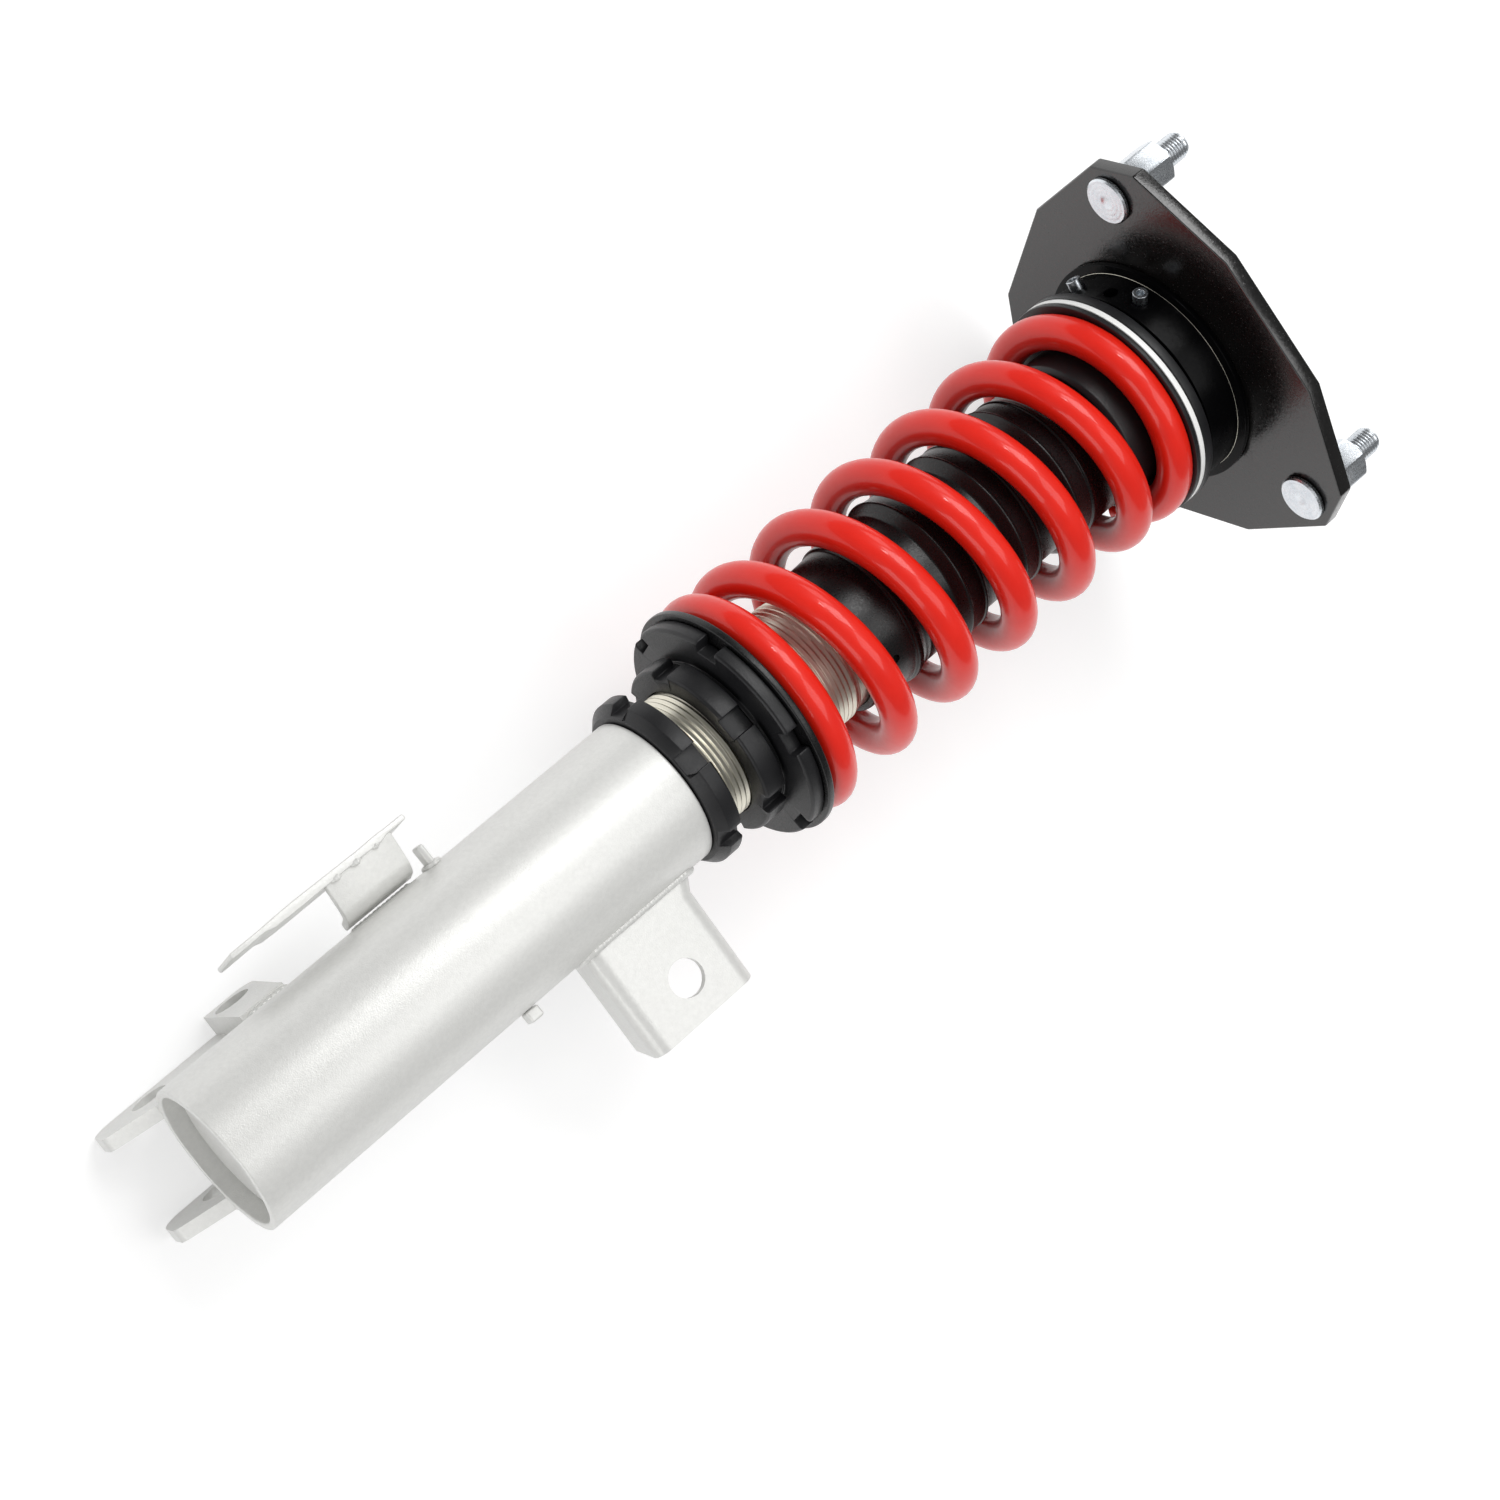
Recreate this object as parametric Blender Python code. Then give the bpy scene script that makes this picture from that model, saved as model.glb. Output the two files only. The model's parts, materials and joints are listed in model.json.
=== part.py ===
# A front coilover strut, lying on a flat surface on its two knuckle ears and
# one lobe of its top mount plate. The strut's own axis is local Z, from the
# housing's open foot up to the mount; local X points to the hose bracket and
# local Y away from the surface. Lengths here are in millimetres.
import math

import bmesh
import bpy
from mathutils import Matrix, Vector

MM = 0.001              # millimetres to metres, when a mesh is made
GAP = 0.3               # clearance between pieces that touch
MERGE = 0.00001         # merge distance of the turned pieces, in metres
FINE_STEPS = 40         # steps round a large turned piece
MEDIUM_STEPS = 24       # steps round a smaller one
COARSE_STEPS = 16       # steps round a screw or a nut
SHARP = math.radians(32)

# Housing: a plain steel tube with brackets welded on
TUBE_LENGTH = 184.5
TUBE_WALL = 2.7
THREAD_RADIUS = 24.0    # M48 thread of the damper, which screws into the tube
BORE_RADIUS = THREAD_RADIUS + GAP
TUBE_RADIUS = BORE_RADIUS + TUBE_WALL

# Knuckle ears, two joggled plates: depth is measured from the strut's axis
EAR_THICKNESS = 4.8
EAR_LOW_INSIDE = 15.7   # half the gap between the lower lobes
EAR_HIGH_INSIDE = 22.5  # half the gap between the upper, wider parts
EAR_STEP_HEIGHT = 35.0
EAR_FOOT = -16.3
EAR_DEPTH = 50.5
EAR_TOP_DEPTH = 10.0
EAR_TOP = 52.0
EAR_CORNER = 7.5
EAR_FAR_CORNER = 46.5   # height of the far corner's middle
EAR_THROAT = ((0.5, 22.0), (-14.8, 33.0), (EAR_FOOT, 35.5))
EAR_HOLE_RADIUS = 6.35
EAR_LOW_HOLE = (3.8, 39.8)
EAR_HIGH_HOLE = (43.0, 40.5)

# Link bracket: a channel that opens away from the viewer
LINK_REACH = 66.0
LINK_FACE = 10.0
LINK_BACK = -17.0
LINK_SHEET = 2.6
LINK_ROOT = (TUBE_LENGTH - 56.0, TUBE_LENGTH - 9.5)
LINK_TIP = (TUBE_LENGTH - 56.0, TUBE_LENGTH - 12.2)
LINK_BEND = (-32.0, -27.0)      # where the upper edge turns up to its root
LINK_DRAFT = 4.5                # the lower web leans in by this at its back
LINK_CORNER = 6.0
LINK_HOLE_RADIUS = 6.5
LINK_HOLE = (-51.6, TUBE_LENGTH - 32.4)

# Hose bracket: a slim plate beside the tube, held by a sloping web. Its sides
# are measured through the sheet from the middle of its near edge.
HOSE_PLACE = (45.2, 2.0)
HOSE_TURN = 21.0        # degrees that the plate leans round the tube
HOSE_SPAN = (38.0, 111.5)
HOSE_MIDDLE = (57.0, 101.0)
HOSE_SIDES = (-1.6, 1.6)
HOSE_END_SIDES = (-0.8, 1.2)
HOSE_DEPTH = 24.0
HOSE_END_SETBACK = 1.5
HOSE_END_CUT = 6.0
HOSE_ROUND = 0.6
HOSE_STEP = 1.0         # length over which the sheet grows thicker
WEB_SPAN = (78.0, 105.0)
WEB_SHEET = 3.2
WEB_DROP = 8.0

# Small tabs welded on the tube: (angle in degrees, height, length, width, reach)
CLIP_TAB = (-6.0, 108.5, 4.0, 9.0, 7.5)
STOP_LUG = (171.0, 103.0, 5.0, 6.0, 4.2)

# Ring nuts on the damper's thread
RING_RADIUS = 32.0
RING_HEIGHT = 8.7
RING_CHAMFER = 3.2
RING_NOTCHES = 6
RING_NOTCH_WIDTH = 8.0
RING_NOTCH_DEPTH = 3.0
RING_NOTCH_ANGLE = 19.0
JAM_SPACE = 11.5        # bare thread between the lock ring and the jam collar
SEAT_RADIUS = 41.5
SEAT_THICKNESS = 5.2
SEAT_HUB_RADIUS = 29.0
SEAT_HUB_HEIGHT = 1.5
SEAT_NOTCH_DEPTH = 4.5
SEAT_NOTCH_ANGLE = 43.0
PAD_RADIUS = 43.6
PAD_THICKNESS = 2.6
PAD_SPIGOT_HEIGHT = 8.0
RIM_BREAK = 0.8         # small chamfer on the rims of the round pieces

# Coil spring
COIL_RADIUS = 37.25
WIRE_RADIUS = 6.25
COIL_SETTLE = 0.5       # turns over which each end eases to its closed coil
COIL_START_ANGLE = 78.0 # where the lowest wire first lies level on the pad
COIL_TAIL = 0.35        # turns of closed coil before and after that
COIL_RISE = (0.182, 5.89)   # turns at which the steady pitch, drawn on, meets each end coil
COIL_TURNS = 6.0
COIL_LENGTH = 180.4     # between its ground end faces
COIL_TOP_SINK = 2.2     # how much of the top wire is ground away
COIL_PITCH = (COIL_LENGTH + COIL_TOP_SINK - 2 * WIRE_RADIUS) / (COIL_RISE[1] - COIL_RISE[0])
COIL_POINTS = 10
SPIGOT_RADIUS = 29.3    # inside the spring, at both ends

# Damper, screwed into the housing's foot
DAMPER_FOOT = 6.0
CAP_THICKNESS = 4.0
CAP_PLUG_HEIGHT = 10.0
THREAD_SHOWN = 36.0     # above the lower spring pad's foot
DAMPER_NECK_RADIUS = 23.0
DAMPER_NECK = 27.0      # plain length above the thread
CYLINDER_RADIUS = 20.5
GUIDE_LENGTH = 22.0
GLAND_THICKNESS = 3.4
ROD_RADIUS = 10.0
STEM_RADIUS = 7.0
PISTON_LENGTH = 18.0
PISTON_SPACE = 8.0      # left below the rod guide at full length
PISTON_STEM_RADIUS = 5.7
PISTON_NUT_LENGTH = 7.0
PISTON_NUT_RADIUS = 9.5
FLOATING_HEIGHT = 106.0  # above the damper's foot
FLOATING_LENGTH = 12.0

# Dust boot
BOOT_LIFT = 5.0         # from the thread's end to the cuff
BOOT_CUFF_LENGTH = 22.0
BOOT_CUFF_RADIUS = 25.4
BOOT_LIP_RADIUS = 27.6
BOOT_VALLEY_RADIUS = 26.0
BOOT_CREST_RADIUS = 29.4
BOOT_CREST_FALL = 0.8
BOOT_RIBS = 3
BOOT_FIRST_RIB = 43.5   # above the boot's foot
BOOT_RIB_WIDTH = 8.8
BOOT_TOP_RADIUS = 27.5

# Upper seat stack
THIN_WASHER = 1.8
NYLON_WASHER = 2.2
UPPER_SEAT_RADIUS = 43.5
UPPER_SEAT_FLANGE = 3.8
UPPER_SPIGOT_DEPTH = 22.0
SEAT_WEB = 9.0
BUMP_STOP_RADIUS = 20.0
BUMP_STOP_LENGTH = 41.0

# Pillow ball mount
SWIVEL_CLEARANCE = 2.5  # between the turning seat and the hub, lets the ball tilt
HUB_RADIUS = 41.0
HUB_LOW_HEIGHT = 11.0
HUB_HEIGHT = 16.0       # up to the mount plate's near face
BOSS_RADIUS = 44.5
HUB_SPIGOT_RADIUS = 32.0
HUB_LIP_RADIUS = 14.5
HUB_LIP_HEIGHT = 2.5
RACE_RADIUS = 17.7
RACE_LENGTH = 13.2
BALL_RADIUS = 13.0
BALL_LENGTH = 15.4
BALL_CLEARANCE = 0.45
SNAP_RING_RADIUS = 19.2
SNAP_RING_INSIDE = 15.5
SNAP_RING_THICKNESS = 1.5
SPACER_RADIUS = 10.2
TOP_NUT_RADIUS = 11.0
TOP_NUT_FLANGE = 2.4
TOP_NUT_ACROSS = 19.0
TOP_NUT_HEIGHT = 11.0
STEM_PROUD = 20.5       # above the mount plate's near face
STEM_SOCKET_RADIUS = 3.4
STEM_SOCKET_DEPTH = 6.0
SPANNER_HOLE = (33.0, 4.7, 2.6, 5.0)     # angle, height above the hub's foot, radius, depth
SET_SCREWS = ((48.0, 7.5), (10.0, 4.5))  # angle, height above the hub's foot
SET_SCREW_RADIUS = 2.7
SET_SCREW_LENGTH = 10.0
SET_SCREW_PROUD = 3.6

# Mount plate: mirrored corners as (angle from local +Y, distance from the axis)
PLATE_THICKNESS = 6.0
PLATE_BREAK = 0.6
PLATE_CORNERS = (
    (20.1, 75.75), (50.6, 84.9), (64.2, 83.4), (94.2, 69.4), (138.7, 68.3), (173.3, 79.5)
)
STUD_PLACES = ((31.0, 72.2), (149.0, 72.2), (-90.0, 66.0))
STUD_RADIUS = 5.0
STUD_HEAD_RADIUS = 8.8
STUD_HEAD_THICKNESS = 1.9
STUD_REACH = 31.0       # beyond the plate
NUT_FLANGE_RADIUS = 9.5
NUT_FLANGE_THICKNESS = 2.5
NUT_ACROSS = 15.0
NUT_HEIGHT = 18.0

# Colours (linear), roughness and metallic value of each material
LOOKS = {
    "silver paint": ((0.66, 0.66, 0.64), 0.42, 0.35),
    "bare steel": ((0.48, 0.46, 0.43), 0.30, 1.0),
    "black anodised": ((0.022, 0.022, 0.024), 0.45, 0.4),
    "gloss black": ((0.010, 0.010, 0.011), 0.18, 0.3),
    "satin black": ((0.030, 0.027, 0.025), 0.35, 0.5),
    "red powder coat": ((0.80, 0.022, 0.012), 0.22, 0.0),
    "black rubber": ((0.016, 0.016, 0.016), 0.60, 0.0),
    "white nylon": ((0.80, 0.80, 0.78), 0.45, 0.0),
    "yellow foam": ((0.62, 0.40, 0.08), 0.80, 0.0),
    "chrome": ((0.70, 0.70, 0.72), 0.08, 1.0),
    "bronze": ((0.42, 0.25, 0.10), 0.35, 1.0),
    "zinc plate": ((0.62, 0.65, 0.68), 0.28, 1.0),
}


def paint(piece, look):
    colour, roughness, metallic = LOOKS[look]
    material = bpy.data.materials.new(piece.name)
    material.use_nodes = True
    shader = material.node_tree.nodes["Principled BSDF"]
    shader.inputs["Base Color"].default_value = (*colour, 1.0)
    shader.inputs["Roughness"].default_value = roughness
    shader.inputs["Metallic"].default_value = metallic
    material.diffuse_color = (*colour, 1.0)
    piece.data.materials.clear()
    piece.data.materials.append(material)


def linked(name, data):
    piece = bpy.data.objects.new(name, data)
    bpy.context.collection.objects.link(piece)
    return piece


def applied(piece):
    # swaps a piece for its mesh with every modifier worked out
    name = piece.name
    graph = bpy.context.evaluated_depsgraph_get()
    mesh = bpy.data.meshes.new_from_object(piece.evaluated_get(graph))
    bpy.data.objects.remove(piece)
    mesh.name = name
    return linked(name, mesh)


def turned(name, outline, steps):
    # An outline of (radius, height) runs down the outer side and up the bore.
    mesh = bpy.data.meshes.new(name)
    points = [(radius * MM, 0.0, height * MM) for radius, height in outline]
    edges = [(i, i + 1) for i in range(len(points) - 1)]
    if outline[0][0] > 0:
        edges.append((len(points) - 1, 0))
    mesh.from_pydata(points, edges, [])
    piece = linked(name, mesh)
    screw = piece.modifiers.new("turn", "SCREW")
    screw.axis = "Z"
    screw.steps = steps
    screw.render_steps = steps
    screw.use_merge_vertices = True
    screw.merge_threshold = MERGE
    return applied(piece)


def ring(name, inside, outside, low, high, steps, rim=0.0):
    outline = [(outside - rim, high), (outside, high - rim), (outside, low + rim), (outside - rim, low)]
    if rim == 0.0:
        outline = [(outside, high), (outside, low)]
    return turned(name, outline + [(inside, low), (inside, high)], steps)


def rod(name, radius, low, high, steps):
    return turned(name, [(0.0, high), (radius, high), (radius, low), (0.0, low)], steps)


def prism(name, outline, low, high, frame=None):
    # An outline in X and Y is drawn out along Z, then set into its frame.
    bm = bmesh.new()
    base = bm.faces.new([bm.verts.new((x * MM, y * MM, low * MM)) for x, y in outline])
    pulled = bmesh.ops.extrude_face_region(bm, geom=[base])["geom"]
    rise = Vector((0.0, 0.0, (high - low) * MM))
    bmesh.ops.translate(bm, verts=[v for v in pulled if isinstance(v, bmesh.types.BMVert)], vec=rise)
    if frame:
        bmesh.ops.transform(bm, matrix=frame, verts=bm.verts)
    bmesh.ops.recalc_face_normals(bm, faces=bm.faces)
    mesh = bpy.data.meshes.new(name)
    bm.to_mesh(mesh)
    bm.free()
    return linked(name, mesh)


def combined(piece, tool, operation):
    tool.hide_render = True
    tool.display_type = "WIRE"
    boolean = piece.modifiers.new(operation.lower(), "BOOLEAN")
    boolean.operation = operation
    boolean.solver = "EXACT"
    boolean.object = tool
    piece = applied(piece)
    bpy.data.objects.remove(tool)
    return piece


def bevelled(piece, width, segments=1, limit=30.0):
    bevel = piece.modifiers.new("bevel", "BEVEL")
    bevel.width = width * MM
    bevel.segments = segments
    bevel.limit_method = "ANGLE"
    bevel.angle_limit = math.radians(limit)
    return applied(piece)


def arc(centre, radius, start, end, pieces):
    points = []
    for i in range(pieces + 1):
        angle = math.radians(start + (end - start) * i / pieces)
        points.append((centre[0] + radius * math.cos(angle), centre[1] + radius * math.sin(angle)))
    return points


def across(angle, height):
    # a frame whose Z points out of the strut's axis at an angle and a height
    frame = Matrix.Translation((0.0, 0.0, height * MM))
    frame @= Matrix.Rotation(math.radians(angle), 4, "Z")
    return frame @ Matrix.Rotation(math.radians(90.0), 4, "Y")


def hexagon(across_flats):
    return arc((0.0, 0.0), across_flats / math.sqrt(3.0), 0.0, 300.0, 5)


def circle(centre, radius, steps):
    return arc(centre, radius, 0.0, 360.0 * (steps - 1) / steps, steps - 1)


def placed(piece, look, height=0.0, side=(0.0, 0.0)):
    piece.location = (side[0] * MM, side[1] * MM, height * MM)
    paint(piece, look)
    piece.data.shade_smooth()
    piece.data.set_sharp_from_angle(angle=SHARP)
    return piece


def tube_space(name):
    # everything within the housing tube, which the welded pieces fit round
    return rod(name, TUBE_RADIUS + GAP, -TUBE_LENGTH, 2 * TUBE_LENGTH, FINE_STEPS)


# ---------------------------------------------------------------- housing

def housing_tube():
    piece = ring("housing_tube", BORE_RADIUS, TUBE_RADIUS, 0.0, TUBE_LENGTH, FINE_STEPS, 0.4)
    return placed(piece, "silver paint")


def knuckle_ear(name, side):
    # The ear's side view is cut out of a joggled strip that runs away from the axis.
    low_outside = EAR_LOW_INSIDE + EAR_THICKNESS
    high_outside = EAR_HIGH_INSIDE + EAR_THICKNESS
    web_top = EAR_STEP_HEIGHT + EAR_THICKNESS
    strip = [
        (EAR_LOW_INSIDE, 2 * EAR_FOOT), (EAR_LOW_INSIDE, web_top), (EAR_HIGH_INSIDE, web_top),
        (EAR_HIGH_INSIDE, 2 * EAR_TOP), (high_outside, 2 * EAR_TOP), (high_outside, EAR_STEP_HEIGHT),
        (low_outside, EAR_STEP_HEIGHT), (low_outside, 2 * EAR_FOOT),
    ]
    strip = [(side * x, z) for x, z in strip]
    piece = prism(name, strip, 0.0, 2 * EAR_DEPTH, Matrix.Rotation(math.radians(90.0), 4, "X"))
    outline = [(EAR_THROAT[0][0], EAR_TOP_DEPTH), *EAR_THROAT]
    foot_corner = (EAR_FOOT + EAR_CORNER, EAR_DEPTH - EAR_CORNER)
    outline += arc(foot_corner, EAR_CORNER, 180.0, 90.0, 6)
    outline += arc((EAR_FAR_CORNER, EAR_DEPTH - EAR_CORNER), EAR_CORNER, 90.0, 20.0, 5)
    outline += [(EAR_TOP, EAR_TOP_DEPTH + 4.0), (EAR_TOP, EAR_TOP_DEPTH)]
    sideways = Matrix(((0, 0, 1, 0), (0, -1, 0, 0), (1, 0, 0, 0), (0, 0, 0, 1)))
    reach = 2 * high_outside
    piece = combined(piece, prism("side_view", outline, -reach, reach, sideways), "INTERSECT")
    for hole in (EAR_LOW_HOLE, EAR_HIGH_HOLE):
        bolt = prism("bolt", circle(hole, EAR_HOLE_RADIUS, MEDIUM_STEPS), -reach, reach, sideways)
        piece = combined(piece, bolt, "DIFFERENCE")
    piece = combined(piece, tube_space("tube_space"), "DIFFERENCE")
    return placed(piece, "silver paint")


def link_channel(name, inset, reach, back):
    # the link bracket's outer form, or, inset by the sheet, the space within it
    face = LINK_FACE - inset
    outline = [
        (-TUBE_RADIUS / 2, LINK_ROOT[0] + inset), (-reach, LINK_TIP[0] + inset),
        (-reach, LINK_TIP[1] - inset), (LINK_BEND[0], LINK_TIP[1] - inset),
        (LINK_BEND[1], LINK_ROOT[1] - inset), (-TUBE_RADIUS / 2, LINK_ROOT[1] - inset),
    ]
    frame = Matrix.Rotation(math.radians(90.0), 4, "X")
    block = prism(name, outline, -face, -back, frame)
    bm = bmesh.new()
    bm.from_mesh(block.data)
    middle = (LINK_ROOT[0] + LINK_ROOT[1]) / 2
    for vertex in bm.verts:
        if vertex.co.y < 0.0 and vertex.co.z < middle * MM:
            vertex.co.z += LINK_DRAFT * MM
    folds = []
    for edge in bm.edges:
        at_face = all(abs(v.co.y - face * MM) < MERGE for v in edge.verts)
        lengthwise = abs(edge.verts[0].co.x - edge.verts[1].co.x) > MM
        if at_face and lengthwise:
            folds.append(edge)
    width = (LINK_CORNER - inset) * MM
    bmesh.ops.bevel(bm, geom=folds, offset=width, segments=4, profile=0.5, affect="EDGES")
    bm.to_mesh(block.data)
    bm.free()
    return block


def link_bracket():
    piece = link_channel("link_bracket", 0.0, LINK_REACH, LINK_BACK)
    room = link_channel("room", LINK_SHEET, LINK_REACH + LINK_SHEET, LINK_BACK - LINK_SHEET)
    piece = combined(piece, room, "DIFFERENCE")
    frame = Matrix.Rotation(math.radians(90.0), 4, "X")
    bolt = prism("bolt", circle(LINK_HOLE, LINK_HOLE_RADIUS, MEDIUM_STEPS), -2 * LINK_FACE, 0.0, frame)
    piece = combined(piece, bolt, "DIFFERENCE")
    piece = combined(piece, tube_space("tube_space"), "DIFFERENCE")
    return placed(piece, "silver paint")


def hose_bracket():
    # The sheet's side view, thicker at its middle, is drawn out through its depth.
    low, high = HOSE_SPAN
    foot, top = HOSE_MIDDLE
    near, far = HOSE_SIDES
    end_near, end_far = HOSE_END_SIDES
    side_view = [
        (low, end_near + HOSE_ROUND), (low + HOSE_ROUND, end_near), (foot - HOSE_STEP, end_near), (foot, near),
        (top, near), (top + HOSE_STEP, end_near), (high - HOSE_ROUND, end_near), (high, end_near + HOSE_ROUND),
        (high, end_far - HOSE_ROUND), (high - HOSE_ROUND, end_far), (top + HOSE_STEP, end_far), (top, far),
        (foot, far), (foot - HOSE_STEP, end_far), (low + HOSE_ROUND, end_far), (low, end_far - HOSE_ROUND),
    ]
    plan = [
        (low - HOSE_STEP, HOSE_END_CUT - HOSE_DEPTH), (low + HOSE_END_CUT, -HOSE_DEPTH),
        (high - HOSE_END_CUT, -HOSE_DEPTH), (high + HOSE_STEP, HOSE_END_CUT - HOSE_DEPTH),
        (high + HOSE_STEP, -HOSE_END_SETBACK), (top + HOSE_END_SETBACK, -HOSE_END_SETBACK), (top, 0.0),
        (foot, 0.0), (foot - HOSE_END_SETBACK, -HOSE_END_SETBACK), (low - HOSE_STEP, -HOSE_END_SETBACK),
    ]
    place = Matrix.Translation((HOSE_PLACE[0] * MM, HOSE_PLACE[1] * MM, 0.0))
    place @= Matrix.Rotation(math.radians(-HOSE_TURN), 4, "Z")
    # outline X runs up the strut, outline Y through the sheet, Z out of its near edge
    sheet_frame = place @ Matrix(((0, 1, 0, 0), (0, 0, 1, 0), (1, 0, 0, 0), (0, 0, 0, 1)))
    plan_frame = place @ Matrix(((0, 0, -1, 0), (0, 1, 0, 0), (1, 0, 0, 0), (0, 0, 0, 1)))
    piece = prism("hose_bracket", side_view, -2 * HOSE_DEPTH, HOSE_DEPTH, sheet_frame)
    reach = 5 * max(HOSE_SIDES)
    piece = combined(piece, prism("plan", plan, -reach, reach, plan_frame), "INTERSECT")
    root = TUBE_RADIUS - 3 * GAP
    rise = HOSE_PLACE[1] - 0.4
    web = [
        (root, HOSE_PLACE[1] - WEB_DROP), (HOSE_PLACE[0], rise),
        (HOSE_PLACE[0], rise - WEB_SHEET), (root, HOSE_PLACE[1] - WEB_DROP - WEB_SHEET),
    ]
    piece = combined(piece, prism("web", web, *WEB_SPAN), "UNION")
    piece = combined(piece, tube_space("tube_space"), "DIFFERENCE")
    return placed(piece, "silver paint")


def tube_tab(name, place):
    angle, height, length, width, reach = place
    frame = across(angle, height + length / 2)
    half_length, half_width = length / 2, width / 2
    outline = [
        (-half_length, -half_width), (half_length, -half_width),
        (half_length, half_width), (-half_length, half_width),
    ]
    piece = prism(name, outline, TUBE_RADIUS - 3.0, TUBE_RADIUS + reach, frame)
    piece = combined(piece, tube_space("tube_space"), "DIFFERENCE")
    return placed(bevelled(piece, 0.5), "silver paint")


# ------------------------------------------------------- ring nuts and pad

def notch_blocks(radius, depth, first_angle, height):
    # blocks that cut the spanner notches, all in one mesh
    bm = bmesh.new()
    for i in range(RING_NOTCHES):
        angle = math.radians(first_angle + i * 360.0 / RING_NOTCHES)
        middle = (radius - depth + 10.0) * MM
        place = Matrix.Rotation(angle, 4, "Z") @ Matrix.Translation((middle, 0.0, 0.0))
        size = Matrix.Diagonal((20.0 * MM, RING_NOTCH_WIDTH * MM, 4 * height * MM, 1.0))
        bmesh.ops.create_cube(bm, size=1.0, matrix=place @ size)
    mesh = bpy.data.meshes.new("notches")
    bm.to_mesh(mesh)
    bm.free()
    return linked("notches", mesh)


def notched_ring(name, lower_radius):
    outline = [
        (RING_RADIUS - RIM_BREAK, RING_HEIGHT), (RING_RADIUS, RING_HEIGHT - RIM_BREAK),
        (RING_RADIUS, RING_CHAMFER), (lower_radius, 0.0), (BORE_RADIUS, 0.0), (BORE_RADIUS, RING_HEIGHT),
    ]
    piece = turned(name, outline, FINE_STEPS)
    notches = notch_blocks(RING_RADIUS, RING_NOTCH_DEPTH, RING_NOTCH_ANGLE, RING_HEIGHT)
    return combined(piece, notches, "DIFFERENCE")


LOCK_HEIGHT = TUBE_LENGTH + GAP
JAM_HEIGHT = LOCK_HEIGHT + RING_HEIGHT + JAM_SPACE
SEAT_HEIGHT = JAM_HEIGHT + RING_HEIGHT + GAP
SEAT_TOTAL = SEAT_HUB_HEIGHT + SEAT_THICKNESS
PAD_HEIGHT = SEAT_HEIGHT + SEAT_TOTAL + GAP
COIL_FOOT = PAD_HEIGHT + PAD_THICKNESS + GAP
COIL_TOP = COIL_FOOT + COIL_LENGTH
THREAD_TOP = PAD_HEIGHT + THREAD_SHOWN
DAMPER_TOP = THREAD_TOP + DAMPER_NECK
BOOT_FOOT = THREAD_TOP + BOOT_LIFT
PISTON_HEIGHT = DAMPER_TOP - GUIDE_LENGTH - PISTON_SPACE - PISTON_LENGTH


def lock_ring():
    piece = notched_ring("lock_ring", RING_RADIUS - RING_CHAMFER)
    return placed(piece, "black anodised", LOCK_HEIGHT)


def jam_collar():
    piece = notched_ring("jam_collar", RING_RADIUS - RIM_BREAK)
    return placed(piece, "black anodised", JAM_HEIGHT)


def seat_collar():
    outline = [
        (SEAT_RADIUS, SEAT_TOTAL), (SEAT_RADIUS, SEAT_HUB_HEIGHT + RIM_BREAK),
        (SEAT_RADIUS - RIM_BREAK, SEAT_HUB_HEIGHT), (SEAT_HUB_RADIUS, SEAT_HUB_HEIGHT),
        (SEAT_HUB_RADIUS, 0.0), (BORE_RADIUS, 0.0), (BORE_RADIUS, SEAT_TOTAL),
    ]
    piece = turned("seat_collar", outline, FINE_STEPS)
    notches = notch_blocks(SEAT_RADIUS, SEAT_NOTCH_DEPTH, SEAT_NOTCH_ANGLE, SEAT_TOTAL)
    return placed(combined(piece, notches, "DIFFERENCE"), "black anodised", SEAT_HEIGHT)


def lower_spring_pad():
    top = PAD_THICKNESS
    outline = [
        (SPIGOT_RADIUS - RIM_BREAK, top + PAD_SPIGOT_HEIGHT),
        (SPIGOT_RADIUS, top + PAD_SPIGOT_HEIGHT - RIM_BREAK), (SPIGOT_RADIUS, top),
        (PAD_RADIUS, top), (PAD_RADIUS, 0.0),
        (BORE_RADIUS + GAP, 0.0), (BORE_RADIUS + GAP, top + PAD_SPIGOT_HEIGHT),
    ]
    return placed(turned("lower_spring_pad", outline, FINE_STEPS), "black rubber", PAD_HEIGHT)


# ----------------------------------------------------------------- spring

def coil_height(turn):
    # Height of the wire's middle above the spring's foot: level on each closed
    # end coil, and at a steady pitch between, with an easing where they meet.
    low = WIRE_RADIUS
    high = COIL_LENGTH - WIRE_RADIUS + COIL_TOP_SINK
    steady = low + COIL_PITCH * (turn - COIL_RISE[0])
    ease = COIL_PITCH * COIL_SETTLE / 4
    for level, sign in ((low, 1.0), (high, -1.0)):
        rise = sign * (steady - level)
        if rise < -ease:
            steady = level
        elif rise < ease:
            steady = level + sign * (rise + ease) ** 2 / (4 * ease)
    return steady


def coil_points():
    count = round((COIL_TURNS + 2 * COIL_TAIL) * COIL_POINTS) + 1
    # the corners stand out a little so that the sides fall as far inside
    corner_radius = COIL_RADIUS / math.sqrt(math.cos(math.pi / COIL_POINTS))
    points = []
    for i in range(count):
        turn = -COIL_TAIL + i / COIL_POINTS
        angle = math.radians(COIL_START_ANGLE) + math.tau * turn
        place = Vector((math.cos(angle), math.sin(angle), 0.0)) * corner_radius
        place.z = coil_height(turn)
        points.append(place)
    return points


def least_coil_gap(points):
    # the least clear space between the wire and its own neighbouring turns
    least = math.inf
    for i, one in enumerate(points):
        for two in points[i + COIL_POINTS * 2 // 3:]:
            least = min(least, (one - two).length - 2 * WIRE_RADIUS)
    return least


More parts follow.
